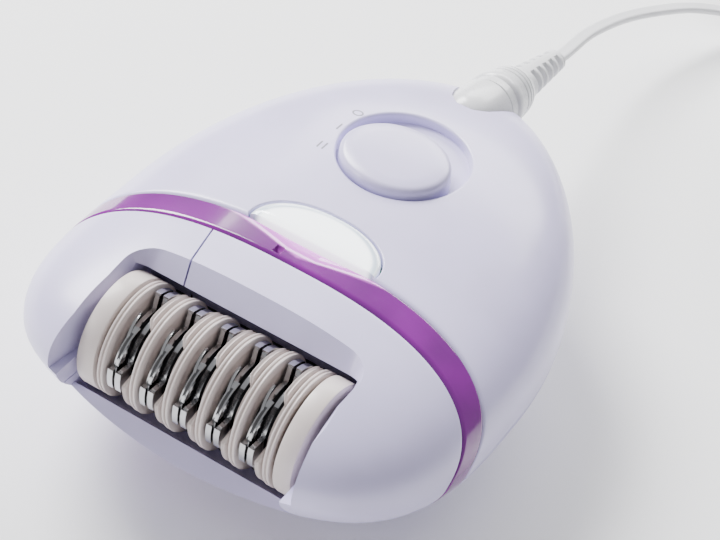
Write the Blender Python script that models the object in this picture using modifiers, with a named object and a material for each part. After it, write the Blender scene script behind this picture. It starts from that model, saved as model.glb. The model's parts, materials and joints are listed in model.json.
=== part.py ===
"""A corded epilator with a tweezer drum, a lift-off head, a work light and a low-voltage lead.

The drum's axis lies along X. The head faces -Y, the lead leaves at +Y and the switch faces +Z. The
handle rests on its flattened back at z = 0. Sizes are in millimetres from a design point on the body's
top centre line, where the head meets the trim band; at() turns them into metres in the part's frame.
"""

import math

import bmesh
import bpy
from mathutils import Vector

MM = 0.001

# Body form
BODY_HALF_WIDTH = 35.5
TAIL_LENGTH = 53.8
HEAD_LENGTH = 37.6
WIDEST_Y = 5.75
SIDE_LINE_Z = -15.1
TAIL_RISE = 6.3
HEAD_RISE = 6.0
TOP_HEIGHT = 15.2
BACK_HEIGHT = 17.3
TAIL_PLAN_POWERS = (2.07, 1.54)
HEAD_PLAN_POWERS = (3.26, 3.31)
TAIL_SIDE_POWERS = (2.8, 1.3)
HEAD_SIDE_POWERS = (2.66, 1.82)
TOP_ROUNDNESS = 2.63
BACK_ROUNDNESS = 1.7
BACK_FLAT = 1.0
WALL = 2.0
GAP = 0.3

# Where the part's frame lies, from the design point
FRAME_Y = 14.06
REST_Z = SIDE_LINE_Z - BACK_HEIGHT + BACK_FLAT

# Head, band and parting planes
BAND_SLOPE = 0.8
BAND_WIDTH = 4.9
BAND_START = -1.3
BAND_WALL = 2.6
PARTING_Z = -15.0
COVER_SPLIT_X = -11.8
COVER_SPLIT_SKEW = 2.9
DECK_THICKNESS = 1.4

# Tweezer drum
DISC_RADIUS = 8.9
DRUM_Y = -17.7
DRUM_Z = -10.6
DRUM_CLEARANCE = 0.8
DISC_PITCH = 5.56
MODULES = 5
DISC_THICKNESS = 1.1
HUB_RADIUS = 4.3
END_DISC_INNER_X = 15.0
END_DISC_THICKNESS = 3.0
SHAFT_RADIUS = 1.5
SHAFT_RUNNING_GAP = 0.3
PLATE_THICKNESS = 0.7
PLATE_TIP_RADIUS = 8.5
PLATE_RING_RADIUS = 5.7
PLATE_PRONGS = 3
PRONG_START_DEG = 62.0
PRONG_TIP_DEG = 13.0
PRONG_ROOT_DEG = 20.0
FIXED_PLATE_OFFSET = 1.45
MOVING_PLATE_OFFSET = 2.65
PINCH_TRAVEL = 0.4
CLAW_OFFSET = 4.05
CLAW_THICKNESS = 0.9
CLAW_RADIUS = 8.7
ROD_RADIUS = 0.5
ROD_CIRCLE_RADIUS = 7.0
ROD_DEG = -110.0
RIM_BEVEL = 0.3

# Gear train, on axes along X
GEAR_MODULE = 0.6
GEAR_WIDTH = 2.0
DRUM_TEETH = 16
DRIVE_TEETH = 20
REDUCTION_TEETH = 20
PINION_TEETH = 12
GEAR_CENTRE_GAP = 0.1
CHEEK_THICKNESS = 1.3
PULL_RISE_DEG = 20.0
MOTOR_DROP_DEG = 10.0
AXLE_RADIUS = 1.0
MOTOR_RADIUS = 8.4
MOTOR_LENGTH = 31.0
MOTOR_SHAFT_RADIUS = 0.8
MOTOR_BOSS_RADIUS = 3.0
MOTOR_BOSS_HEIGHT = 0.6
MOTOR_EDGE = 1.0

# Switch and light
RECESS_HALF_WIDTH = 10.2
RECESS_HALF_LENGTH = 10.6
RECESS_Y = 29.4
RECESS_FLOOR_Z = -2.4
CUP_WALL = 1.2
BUTTON_HALF_WIDTH = 9.0
BUTTON_HALF_LENGTH = 7.6
BUTTON_TOP_Z = 1.9
SWITCH_TRAVEL = 5.0
STEM_HALF_WIDTH = 2.0
STEM_HALF_LENGTH = 2.5
LENS_HALF_WIDTH = 10.8
LENS_DEPTH = 6.9
LENS_WALL = 1.6
BOARD_HALF_WIDTH = 12.0
BOARD_START_Y = 5.0
BOARD_END_Y = 44.0
BOARD_THICKNESS = 1.2
BOARD_TOP_Z = -5.2

# Head release on the back
RELEASE_Y = 16.0
RELEASE_RADIUS = 5.0
RELEASE_INSET = 0.4
RELEASE_HEIGHT = 3.2
RELEASE_NECK = 2.0
RELEASE_FLANGE = 1.2
RELEASE_CHAMFER = 0.4

# Plug, lead, coil and wall adapter
SOCKET_RADIUS = 4.0
SOCKET_WALL = 1.2
SOCKET_FLOOR = 1.4
SOCKET_DEPTH = 12.0
PLUG_RADIUS = 5.2
PLUG_LENGTH = 11.0
PLUG_DROOP_DEG = 12.0
PIN_RADIUS = 2.4
RELIEF_LENGTH = 15.0
RELIEF_START_RADIUS = 3.4
RELIEF_END_RADIUS = 2.1
LEAD_DIAMETER = 2.6
COIL_MEAN_RADIUS = 15.5
COIL_HALF_BUILD = 7.8
COIL_HEIGHT = 7.8
COIL_EDGE = 1.0
TABLE_GAP = 0.1
COIL_X = 18.0
COIL_Y = 154.0
ADAPTER_WIDTH = 26.0
ADAPTER_LENGTH = 38.0
ADAPTER_HEIGHT = 32.0
ADAPTER_ROUNDING = 3.0
ADAPTER_X = 58.5
ADAPTER_Y = 137.0
MAINS_PIN_RADIUS = 2.0
MAINS_PIN_LENGTH = 17.0
MAINS_PIN_SPREAD = 9.5

# The free lead's route in the part's frame: from the relief to the coil, then from the coil to the adapter
LEAD_ROUTE = (
    (-0.3, 81.1, 15.4),
    (0.0, 87.0, 14.1),
    (0.8, 93.6, 12.5),
    (2.0, 99.1, 11.1),
    (3.8, 104.6, 9.7),
    (7.1, 111.9, 7.9),
    (11.3, 118.3, 5.7),
    (17.0, 124.0, 3.5),
    (23.5, 128.7, 2.0),
    (30.5, 132.3, 1.4),
)
TAIL_ROUTE = (
    (34.3, 134.2, 1.5),
    (37.5, 135.4, 2.2),
    (41.0, 136.4, 4.0),
    (44.6, 136.9, 5.4),
)

DISC_STEPS = 30
FORM_SEGMENTS = 40
FORM_RINGS = 30


def at(x, y, z):
    """A point given in millimetres from the design point, in metres in the part's frame."""
    return Vector((x * MM, (y - FRAME_Y) * MM, (z - REST_Z) * MM))


# ---------------------------------------------------------------- scene and helpers
for leftover in list(bpy.data.objects):
    bpy.data.objects.remove(leftover, do_unlink=True)

parts = bpy.data.collections.new("epilator")
cutters = bpy.data.collections.new("cutters")
bpy.context.scene.collection.children.link(parts)
bpy.context.scene.collection.children.link(cutters)


def finish(name, colour, roughness, metallic=0.0):
    material = bpy.data.materials.new(name)
    material.use_nodes = True
    shader = material.node_tree.nodes["Principled BSDF"]
    shader.inputs["Base Color"].default_value = (*colour, 1.0)
    shader.inputs["Roughness"].default_value = roughness
    shader.inputs["Metallic"].default_value = metallic
    material.diffuse_color = (*colour, 1.0)
    return material


LAVENDER = finish("lavender_shell", (0.76, 0.73, 0.88), 0.28)
VIOLET = finish("violet_trim", (0.36, 0.05, 0.52), 0.12)
CLEAR = finish("clear_lens", (0.85, 0.90, 0.95), 0.08)
BEIGE = finish("beige_moulding", (0.62, 0.54, 0.51), 0.45)
STEEL = finish("tweezer_steel", (0.42, 0.43, 0.44), 0.22, 1.0)
BRASS = finish("brass_bush", (0.70, 0.52, 0.22), 0.35, 1.0)
NYLON = finish("nylon_gear", (0.85, 0.84, 0.80), 0.45)
BOARD = finish("circuit_board", (0.05, 0.25, 0.12), 0.50)
BLACK = finish("black_plastic", (0.03, 0.03, 0.035), 0.45)
CASING = finish("motor_casing", (0.55, 0.56, 0.58), 0.30, 1.0)
PALE = finish("lead_grey", (0.72, 0.72, 0.73), 0.45)
LIGHT = finish("led", (0.95, 0.97, 1.0), 0.30)


def new_object(name, mesh, material=None, collection=parts):
    thing = bpy.data.objects.new(name, mesh)
    collection.objects.link(thing)
    if material is not None:
        mesh.materials.clear()
        mesh.materials.append(material)
    return thing


def mesh_object(name, work, material=None, smooth=True, turn_out=True):
    mesh = bpy.data.meshes.new(name)
    if turn_out:
        bmesh.ops.recalc_face_normals(work, faces=work.faces)
    work.to_mesh(mesh)
    work.free()
    if smooth:
        mesh.shade_smooth()
        mesh.set_sharp_from_angle(angle=math.radians(32))
    return new_object(name, mesh, material)


def as_cutter(thing):
    parts.objects.unlink(thing)
    cutters.objects.link(thing)
    thing.hide_render = True
    thing.display_type = "WIRE"
    return thing


def boolean(target, tool, operation="DIFFERENCE"):
    step = target.modifiers.new(operation.lower(), "BOOLEAN")
    step.operation = operation
    step.object = tool
    step.solver = "EXACT"


def extruded(name, corners, travel, material=None, smooth=False):
    """A flat outline of points in the part's frame, carried along one travel vector."""
    work = bmesh.new()
    face = work.faces.new([work.verts.new(corner) for corner in corners])
    moved = bmesh.ops.extrude_face_region(work, geom=[face])["geom"]
    tips = [item for item in moved if isinstance(item, bmesh.types.BMVert)]
    bmesh.ops.translate(work, verts=tips, vec=travel)
    return mesh_object(name, work, material, smooth)


def side_prism(name, outline, x_low, x_high, material=None, smooth=False):
    """An outline of (y, z) carried along X."""
    corners = [at(x_low, y, z) for y, z in outline]
    return extruded(name, corners, Vector(((x_high - x_low) * MM, 0, 0)), material, smooth)


def plan_prism(name, outline, z_low, z_high, material=None, smooth=False):
    """An outline of (x, y) carried along Z."""
    corners = [at(x, y, z_low) for x, y in outline]
    return extruded(name, corners, Vector((0, 0, (z_high - z_low) * MM)), material, smooth)


def block(name, low, high, material=None):
    (x0, y0, z0), (x1, y1, z1) = low, high
    return plan_prism(name, [(x0, y0), (x1, y0), (x1, y1), (x0, y1)], z0, z1, material)


def arc(centre, radius, start_deg, end_deg, steps):
    """Points round a centre in any plane's two coordinates, angles from the first axis."""
    points = []
    for step in range(steps + 1):
        angle = math.radians(start_deg + (end_deg - start_deg) * step / steps)
        points.append((centre[0] + radius * math.cos(angle), centre[1] + radius * math.sin(angle)))
    return points


def ellipse(half_x, half_y, centre_y, steps=48):
    turns = [math.tau * step / steps for step in range(steps)]
    return [(half_x * math.cos(turn), centre_y + half_y * math.sin(turn)) for turn in turns]


def turned(name, profile, centre, direction="X", steps=DISC_STEPS, material=None, closed=False, turn=None):
    """A profile of (radius, along) listed down its outer side, turned about an axis through centre."""
    mesh = bpy.data.meshes.new(name)
    count = len(profile)
    edges = [(index, index + 1) for index in range(count - 1)]
    if closed:
        edges.append((count - 1, 0))
    mesh.from_pydata([(radius * MM, 0, along * MM) for radius, along in profile], edges, [])
    thing = new_object(name, mesh, material)
    screw = thing.modifiers.new("turn", "SCREW")
    screw.steps = steps
    screw.render_steps = steps
    screw.use_merge_vertices = True
    screw.merge_threshold = 0.00001
    screw.use_smooth_shade = True
    thing.location = centre
    if direction == "X":
        thing.rotation_euler = (0, math.radians(90), 0)
    if turn is not None:
        thing.rotation_euler = turn
    return thing


def rod(name, radius, x_low, x_high, y, z, material=None, steps=24):
    """A plain round bar along X."""
    profile = [(0, x_high), (radius, x_high), (radius, x_low), (0, x_low)]
    return turned(name, profile, at(0, y, z), "X", steps, material)


def ring(name, outer, inner, x_low, x_high, y, z, material=None, steps=DISC_STEPS):
    """A plain collar along X, open right through."""
    profile = [(outer, x_high), (outer, x_low), (inner, x_low), (inner, x_high)]
    return turned(name, profile, at(0, y, z), "X", steps, material, closed=True)


# ---------------------------------------------------------------- the body's form
def signed_power(value, power):
    return math.copysign(abs(value) ** power, value)


def form_point(pole, across, upward, inset):
    """Carries a unit direction to the body's surface, or to one inset from it."""
    tail = pole > 0
    length = (TAIL_LENGTH if tail else HEAD_LENGTH) - inset
    reach = min(abs(pole), 1.0)
    plan = TAIL_PLAN_POWERS if tail else HEAD_PLAN_POWERS
    side = TAIL_SIDE_POWERS if tail else HEAD_SIDE_POWERS
    half_width = (BODY_HALF_WIDTH - inset) * (1 - reach ** plan[0]) ** (1 / plan[1])
    swell = (1 - reach ** side[0]) ** (1 / side[1])
    middle = SIDE_LINE_Z + (TAIL_RISE if tail else HEAD_RISE) * reach ** 2
    height = (TOP_HEIGHT if upward > 0 else BACK_HEIGHT) - inset
    roundness = TOP_ROUNDNESS if upward > 0 else BACK_ROUNDNESS
    radius = math.hypot(across, upward)
    if radius < 1e-9:
        return at(0, WIDEST_Y + length * pole, middle)
    x = half_width * signed_power(across / radius, 2 / roundness)
    z = middle + height * swell * signed_power(upward / radius, 2 / roundness)
    return at(x, WIDEST_Y + length * pole, z)


def body_form(name, inset=0.0, material=None):
    """The closed egg-shaped form, its poles at the head and the tail."""
    work = bmesh.new()
    bmesh.ops.create_uvsphere(work, u_segments=FORM_SEGMENTS, v_segments=FORM_RINGS, radius=1.0)
    for vert in work.verts:
        sx, sy, sz = vert.co
        vert.co = form_point(sz, sx, -sy, inset)
    return mesh_object(name, work, material, turn_out=False)


def band_line(offset, z):
    """The y at which a plane parallel to the band's edges crosses height z."""
    return offset + BAND_SLOPE * z


FAR = 80.0
PAST_DRUM_X = 24.0
BAND_END = BAND_START + BAND_WIDTH
BAND_GAP = GAP * math.hypot(1, BAND_SLOPE)
HIGH_Z = 20.0
LOW_Z = -60.0


def region(name, front_offset, back_offset, z_low=LOW_Z, z_high=HIGH_Z):
    """A slab between two sloped planes, cut off at two heights; None leaves an end far away."""
    front = [-FAR] * 2
    if front_offset is not None:
        front = [band_line(front_offset, z_low), band_line(front_offset, z_high)]
    back = [FAR] * 2
    if back_offset is not None:
        back = [band_line(back_offset, z_low), band_line(back_offset, z_high)]
    outline = [(front[0], z_low), (back[0], z_low), (back[1], z_high), (front[1], z_high)]
    return as_cutter(side_prism(name, outline, -FAR, FAR))


rest_cut = as_cutter(block("rest_cut", (-FAR, -FAR, LOW_Z), (FAR, FAR, REST_Z)))
hollow = as_cutter(body_form("hollow", WALL))

# ---------------------------------------------------------------- drum opening in the head
SCOOP_RADIUS = DISC_RADIUS + DRUM_CLEARANCE
DRUM_HALF_WIDTH = END_DISC_INNER_X + END_DISC_THICKNESS
SCOOP_HALF_WIDTH = DRUM_HALF_WIDTH + 0.6
SCOOP_FLARE = 1.3
LIP_DEG = 50.0
REAR_LIP_DEG = 222.0
CREASE_Y = -9.0
CREASE_Z = 0.6


def scoop_outline(extra):
    """The (y, z) outline of what is taken out round the drum, grown by extra."""
    around = arc((DRUM_Y, DRUM_Z), SCOOP_RADIUS + extra, LIP_DEG, REAR_LIP_DEG - 360, 28)
    last = around[-1]
    beyond = [(last[0] - 14.0, last[1] - 9.0), (-FAR, last[1] - 9.0), (-FAR, HIGH_Z)]
    above = [(CREASE_Y + extra, HIGH_Z), (CREASE_Y + extra, CREASE_Z)]
    return around + beyond + above


def scoop(name, extra):
    """The drum opening, its two side walls flaring towards the front."""
    outline = scoop_outline(extra)
    half = SCOOP_HALF_WIDTH + extra
    tool = side_prism(name, outline, -half, half)
    work = bmesh.new()
    work.from_mesh(tool.data)
    everything = work.verts[:] + work.edges[:] + work.faces[:]
    bmesh.ops.bisect_plane(work, geom=everything, plane_co=at(0, DRUM_Y, 0), plane_no=(0, 1, 0))
    drum_y = at(0, DRUM_Y, 0).y
    for vert in work.verts:
        forward = max(drum_y - vert.co.y, 0.0)
        vert.co.x += math.copysign(SCOOP_FLARE * forward / SCOOP_RADIUS, vert.co.x)
    work.to_mesh(tool.data)
    work.free()
    return as_cutter(tool)


drum_opening = scoop("drum_opening", 0.0)
opening_wall = scoop("opening_wall", CHEEK_THICKNESS)
head_cavity = as_cutter(body_form("head_cavity", WALL))
boolean(head_cavity, opening_wall)

# ---------------------------------------------------------------- head covers
HEAD_END = BAND_START - BAND_GAP
SPLIT_HALF_GAP = GAP / 2


def split_region(name, side):
    """What lies on one side of the skewed joint between the two front covers."""
    shift = SPLIT_HALF_GAP * side
    top_x = COVER_SPLIT_X - COVER_SPLIT_SKEW / 2 + shift
    front_x = COVER_SPLIT_X + COVER_SPLIT_SKEW * 3 + shift
    outline = [(top_x, 0.0), (front_x, -50.0), (FAR * side, -50.0), (FAR * side, FAR), (top_x, FAR)]
    return as_cutter(plan_prism(name, outline, LOW_Z, HIGH_Z))


BUSH_OUTER = 2.6
BUSH_LENGTH = 1.7
bush_hole = as_cutter(rod("bush_hole", BUSH_OUTER + GAP, -PAST_DRUM_X, PAST_DRUM_X, DRUM_Y, DRUM_Z))


def head_cover(name, z_low, z_high, side):
    cover = body_form(name, 0.0, LAVENDER)
    boolean(cover, region(name + "_region", None, HEAD_END, z_low, z_high), "INTERSECT")
    if side:
        boolean(cover, split_region(name + "_side", side), "INTERSECT")
    boolean(cover, drum_opening)
    boolean(cover, head_cavity)
    boolean(cover, bush_hole)
    boolean(cover, rest_cut)
    return cover


head_cover("head_main_cover", PARTING_Z + GAP / 2, HIGH_Z, 1)
head_cover("head_left_cover", PARTING_Z + GAP / 2, HIGH_Z, -1)
head_cover("head_rear_cover", LOW_Z, PARTING_Z - GAP / 2, 0)

for side, name in ((-1, "bush_left"), (1, "bush_right")):
    inner = SCOOP_HALF_WIDTH + 0.1
    span = sorted((side * inner, side * (inner + BUSH_LENGTH)))
    ring(name, BUSH_OUTER, SHAFT_RADIUS + SHAFT_RUNNING_GAP, *span, DRUM_Y, DRUM_Z, BRASS)

# ---------------------------------------------------------------- handle shells and trim band
handle_region = region("handle_front_region", BAND_END + BAND_GAP, None, PARTING_Z + GAP / 2, HIGH_Z)
rear_region = region("handle_rear_region", BAND_END + BAND_GAP, None, LOW_Z, PARTING_Z - GAP / 2)

cup = as_cutter(
    plan_prism(
        "cup_block",
        ellipse(RECESS_HALF_WIDTH + CUP_WALL, RECESS_HALF_LENGTH + CUP_WALL, RECESS_Y),
        RECESS_FLOOR_Z - CUP_WALL,
        HIGH_Z,
    )
)
front_hollow = as_cutter(body_form("front_hollow", WALL))
boolean(front_hollow, cup)
recess = as_cutter(
    plan_prism("recess", ellipse(RECESS_HALF_WIDTH, RECESS_HALF_LENGTH, RECESS_Y), RECESS_FLOOR_Z, HIGH_Z)
)
BUTTON_Y = RECESS_Y - RECESS_HALF_LENGTH + BUTTON_HALF_LENGTH + GAP
slot_low = BUTTON_Y - STEM_HALF_LENGTH - GAP
slot_high = BUTTON_Y + STEM_HALF_LENGTH + SWITCH_TRAVEL + GAP
slot_half = STEM_HALF_WIDTH + GAP
stem_slot = as_cutter(block("stem_slot", (-slot_half, slot_low, -8.0), (slot_half, slot_high, HIGH_Z)))


LENS_CUT_Z = -7.0
LENS_STEPS = 24


def lens_outline(grow):
    """A half-moon in (x, y): straight across the band's edge, bowed towards the switch."""
    base = BAND_END - 2.0
    start = BAND_END + BAND_GAP + 0.2
    points = [(-LENS_HALF_WIDTH - grow, base)]
    for step in range(LENS_STEPS + 1):
        turn = math.pi * (1 - step / LENS_STEPS)
        x = (LENS_HALF_WIDTH + grow) * signed_power(math.cos(turn), 0.9)
        points.append((x, start + (LENS_DEPTH + grow) * math.sin(turn) ** 0.9))
    points.append((LENS_HALF_WIDTH + grow, base))
    return points


lens_window = as_cutter(plan_prism("lens_window", lens_outline(GAP), LENS_CUT_Z, HIGH_Z))
socket_direction = Vector((0, math.cos(math.radians(PLUG_DROOP_DEG)), -math.sin(math.radians(PLUG_DROOP_DEG))))
TAIL_Y = WIDEST_Y + TAIL_LENGTH
TAIL_Z = SIDE_LINE_Z + TAIL_RISE
tail_point = at(0, TAIL_Y, TAIL_Z)
tail_turn = (math.radians(-90 - PLUG_DROOP_DEG), 0, 0)


def tail_turned(name, profile, material=None, closed=False, steps=28):
    """A turned piece on the socket's axis; along counts outwards from the tail."""
    return turned(name, profile, tail_point, "Z", steps, material, closed, tail_turn)


socket_hole = as_cutter(
    tail_turned(
        "socket_hole",
        [
            (0, 10.0),
            (SOCKET_RADIUS + SOCKET_WALL + GAP, 10.0),
            (SOCKET_RADIUS + SOCKET_WALL + GAP, -SOCKET_DEPTH - GAP),
            (0, -SOCKET_DEPTH - GAP),
        ],
    )
)

front_shell = body_form("front_shell", 0.0, LAVENDER)
boolean(front_shell, handle_region, "INTERSECT")
boolean(front_shell, front_hollow)
boolean(front_shell, recess)
boolean(front_shell, stem_slot)
boolean(front_shell, lens_window)
boolean(front_shell, socket_hole)

release_hole = as_cutter(
    plan_prism(
        "release_hole",
        ellipse(RELEASE_RADIUS + GAP, RELEASE_RADIUS + GAP, RELEASE_Y),
        LOW_Z,
        REST_Z + 5.0,
    )
)
SCREW_PLACES = ((-13.0, 36.0), (13.0, 36.0))
SCREW_HEAD_RADIUS = 2.2
SCREW_SHANK_RADIUS = 1.1
SCREW_SEAT_Z = -20.0
SCREW_TOP_Z = -5.0
SCREW_REACH = 8.0
SCREW_HEAD_HEIGHT = 1.4
DRIVE_RADIUS = 1.0
DRIVE_DEPTH = 0.8

rear_shell = body_form("rear_shell", 0.0, LAVENDER)
boolean(rear_shell, rear_region, "INTERSECT")
boolean(rear_shell, hollow)
boolean(rear_shell, rest_cut)
boolean(rear_shell, release_hole)
boolean(rear_shell, socket_hole)
for number, (x, y) in enumerate(SCREW_PLACES, start=1):
    well = [
        (0, SCREW_TOP_Z),
        (SCREW_SHANK_RADIUS + GAP, SCREW_TOP_Z),
        (SCREW_SHANK_RADIUS + GAP, SCREW_SEAT_Z),
        (SCREW_HEAD_RADIUS + GAP, SCREW_SEAT_Z),
        (SCREW_HEAD_RADIUS + GAP, LOW_Z),
        (0, LOW_Z),
    ]
    boolean(rear_shell, as_cutter(turned(f"screw_well_{number}", well, at(x, y, 0), "Z", 20)))
    head_top = SCREW_SEAT_Z - GAP
    head_face = head_top - SCREW_HEAD_HEIGHT
    screw = [
        (0, head_top + SCREW_REACH),
        (SCREW_SHANK_RADIUS, head_top + SCREW_REACH),
        (SCREW_SHANK_RADIUS, head_top),
        (SCREW_HEAD_RADIUS, head_top),
        (SCREW_HEAD_RADIUS, head_face),
        (DRIVE_RADIUS, head_face),
        (DRIVE_RADIUS - 0.2, head_face + DRIVE_DEPTH),
        (0, head_face + DRIVE_DEPTH),
    ]
    turned(f"shell_screw_{number}", screw, at(x, y, 0), "Z", 20, STEEL)

band = body_form("trim_band", 0.0, VIOLET)
boolean(band, region("band_region", BAND_START, BAND_END), "INTERSECT")
boolean(band, as_cutter(body_form("band_hollow", BAND_WALL)))
boolean(band, rest_cut)

deck = body_form("deck_plate", BAND_WALL + GAP, BLACK)
boolean(deck, region("deck_region", BAND_END - DECK_THICKNESS, BAND_END), "INTERSECT")

lens = body_form("light_lens", 0.0, CLEAR)
boolean(lens, handle_region, "INTERSECT")
boolean(lens, as_cutter(body_form("lens_hollow", LENS_WALL)))
boolean(lens, as_cutter(plan_prism("lens_keep", lens_outline(0.0), LENS_CUT_Z, HIGH_Z)), "INTERSECT")

# ---------------------------------------------------------------- switch
button_profile = [
    (0, BUTTON_TOP_Z),
    (BUTTON_HALF_LENGTH * 0.45, BUTTON_TOP_Z - 0.15),
    (BUTTON_HALF_LENGTH * 0.78, BUTTON_TOP_Z - 0.6),
    (BUTTON_HALF_LENGTH * 0.94, BUTTON_TOP_Z - 1.3),
    (BUTTON_HALF_LENGTH, BUTTON_TOP_Z - 2.2),
    (BUTTON_HALF_LENGTH, RECESS_FLOOR_Z + GAP),
    (0, RECESS_FLOOR_Z + GAP),
]
button = turned("switch_button", button_profile, at(0, BUTTON_Y, 0), "Z", 40, LAVENDER)
button.scale = (BUTTON_HALF_WIDTH / BUTTON_HALF_LENGTH, 1, 1)

block(
    "switch_stem",
    (-STEM_HALF_WIDTH, BUTTON_Y - STEM_HALF_LENGTH, BOARD_TOP_Z + GAP),
    (STEM_HALF_WIDTH, BUTTON_Y + STEM_HALF_LENGTH, RECESS_FLOOR_Z),
    BLACK,
)
block(
    "circuit_board",
    (-BOARD_HALF_WIDTH, BOARD_START_Y, BOARD_TOP_Z - BOARD_THICKNESS),
    (BOARD_HALF_WIDTH, BOARD_END_Y, BOARD_TOP_Z),
    BOARD,
)
led_profile = [(0, 2.2), (1.0, 1.9), (1.5, 1.1), (1.5, GAP), (0, GAP)]
turned("light_emitter", led_profile, at(0, BOARD_START_Y + 3.0, BOARD_TOP_Z), "Z", 20, LIGHT)

# ---------------------------------------------------------------- tweezer drum
disc_places = [(number - MODULES / 2) * DISC_PITCH for number in range(MODULES + 1)]
rod_hole = ROD_RADIUS + GAP
rod_angle = math.radians(ROD_DEG)
ROD_Y = DRUM_Y + ROD_CIRCLE_RADIUS * math.cos(rod_angle)
ROD_Z = DRUM_Z + ROD_CIRCLE_RADIUS * math.sin(rod_angle)
rod_way = as_cutter(rod("rod_way", rod_hole, -PAST_DRUM_X, PAST_DRUM_X, ROD_Y, ROD_Z, steps=16))
bore = HUB_RADIUS + GAP

ring("drum_core", HUB_RADIUS, SHAFT_RADIUS + GAP, -END_DISC_INNER_X + GAP, END_DISC_INNER_X - GAP,
     DRUM_Y, DRUM_Z, BLACK)
DRUM_GEAR_X = SCOOP_HALF_WIDTH + CHEEK_THICKNESS + 1.4
REDUCTION_X = DRUM_GEAR_X + GEAR_WIDTH + GAP
SHAFT_LEFT_X = -SCOOP_HALF_WIDTH - CHEEK_THICKNESS - 0.8
rod("drum_shaft", SHAFT_RADIUS, SHAFT_LEFT_X, DRUM_GEAR_X + GEAR_WIDTH, DRUM_Y, DRUM_Z, STEEL)

half_disc = DISC_THICKNESS / 2
for number, x in enumerate(disc_places, start=1):
    profile = [
        (DISC_RADIUS, half_disc),
        (DISC_RADIUS - RIM_BEVEL, 0.0),
        (DISC_RADIUS, -half_disc),
        (bore, -half_disc),
        (bore, half_disc),
    ]
    disc = turned(f"comb_disc_{number}", profile, at(x, DRUM_Y, DRUM_Z), "X", DISC_STEPS, BEIGE, True)
    boolean(disc, rod_way)

for side, name in ((-1, "end_disc_left"), (1, "end_disc_right")):
    low, high = sorted((side * END_DISC_INNER_X, side * DRUM_HALF_WIDTH))
    profile = [
        (DISC_RADIUS - RIM_BEVEL, high),
        (DISC_RADIUS, high - RIM_BEVEL),
        (DISC_RADIUS, low + RIM_BEVEL),
        (DISC_RADIUS - RIM_BEVEL, low),
        (SHAFT_RADIUS + GAP, low),
        (SHAFT_RADIUS + GAP, high),
    ]
    turned(name, profile, at(0, DRUM_Y, DRUM_Z), "X", DISC_STEPS, BEIGE, True)


def plate_outline(start_deg):
    """A hub ring with short prongs reaching out to the rim, in (y, z)."""
    points = []
    step_deg = 360.0 / PLATE_PRONGS
    for prong in range(PLATE_PRONGS):
        middle = start_deg + prong * step_deg
        points += arc((DRUM_Y, DRUM_Z), PLATE_TIP_RADIUS, middle - PRONG_TIP_DEG, middle + PRONG_TIP_DEG, 3)
        valley = (middle + PRONG_ROOT_DEG, middle + step_deg - PRONG_ROOT_DEG)
        points += arc((DRUM_Y, DRUM_Z), PLATE_RING_RADIUS, *valley, 5)
    return points


def steel_plate(name, x, start_deg):
    low = x - PLATE_THICKNESS / 2
    plate = side_prism(name, plate_outline(start_deg), low, low + PLATE_THICKNESS, STEEL)
    boolean(plate, plate_bore)
    boolean(plate, rod_way)


def claw_outline():
    """A hub ring with one broad upper sector and one lower one."""
    points = arc((DRUM_Y, DRUM_Z), CLAW_RADIUS, 40, 112, 9)
    points += arc((DRUM_Y, DRUM_Z), PLATE_RING_RADIUS, 118, 168, 6)
    points += arc((DRUM_Y, DRUM_Z), CLAW_RADIUS, 174, 262, 10)
    points += arc((DRUM_Y, DRUM_Z), PLATE_RING_RADIUS, 268, 394, 12)
    return points


plate_bore = as_cutter(rod("plate_bore", bore, -PAST_DRUM_X, PAST_DRUM_X, DRUM_Y, DRUM_Z))
for number, x in enumerate(disc_places[:-1], start=1):
    steel_plate(f"fixed_plate_{number}", x + FIXED_PLATE_OFFSET, PRONG_START_DEG)
    steel_plate(f"moving_plate_{number}", x + MOVING_PLATE_OFFSET, PRONG_START_DEG)
    low = x + CLAW_OFFSET - CLAW_THICKNESS / 2
    claw = side_prism(f"claw_disc_{number}", claw_outline(), low, low + CLAW_THICKNESS, BEIGE, True)
    boolean(claw, plate_bore)
    boolean(claw, rod_way)
rod_end = END_DISC_INNER_X - GAP - PINCH_TRAVEL
rod("actuator_rod", ROD_RADIUS, -rod_end, rod_end, ROD_Y, ROD_Z, STEEL, 12)

# ---------------------------------------------------------------- gear train and motor
TOOTH_RISE = 0.92
TOOTH_DEPTH = 1.4
TOOTH_HALF_ROOT = 0.27
TOOTH_HALF_TIP = 0.10


def gear(name, teeth, first_deg, bore_radius, x_low, y, z, material):
    """A spur gear on an X axis with slim, straight-sided teeth; one tooth points at first_deg."""
    pitch_radius = GEAR_MODULE * teeth / 2
    tip = pitch_radius + GEAR_MODULE * TOOTH_RISE
    root = pitch_radius - GEAR_MODULE * TOOTH_DEPTH
    pitch_deg = 360.0 / teeth
    points = []
    for tooth in range(teeth):
        middle = first_deg + tooth * pitch_deg
        spots = (
            (root, -TOOTH_HALF_ROOT),
            (tip, -TOOTH_HALF_TIP),
            (tip, TOOTH_HALF_TIP),
            (root, TOOTH_HALF_ROOT),
        )
        for radius, share in spots:
            angle = math.radians(middle + share * pitch_deg)
            points.append((y + radius * math.cos(angle), z + radius * math.sin(angle)))
    wheel = side_prism(name, points, x_low, x_low + GEAR_WIDTH, material)
    boolean(wheel, as_cutter(rod(name + "_bore", bore_radius, x_low - 1, x_low + GEAR_WIDTH + 1, y, z)))


def centre_distance(teeth_a, teeth_b):
    return GEAR_MODULE * (teeth_a + teeth_b) / 2 + GEAR_CENTRE_GAP


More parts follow.
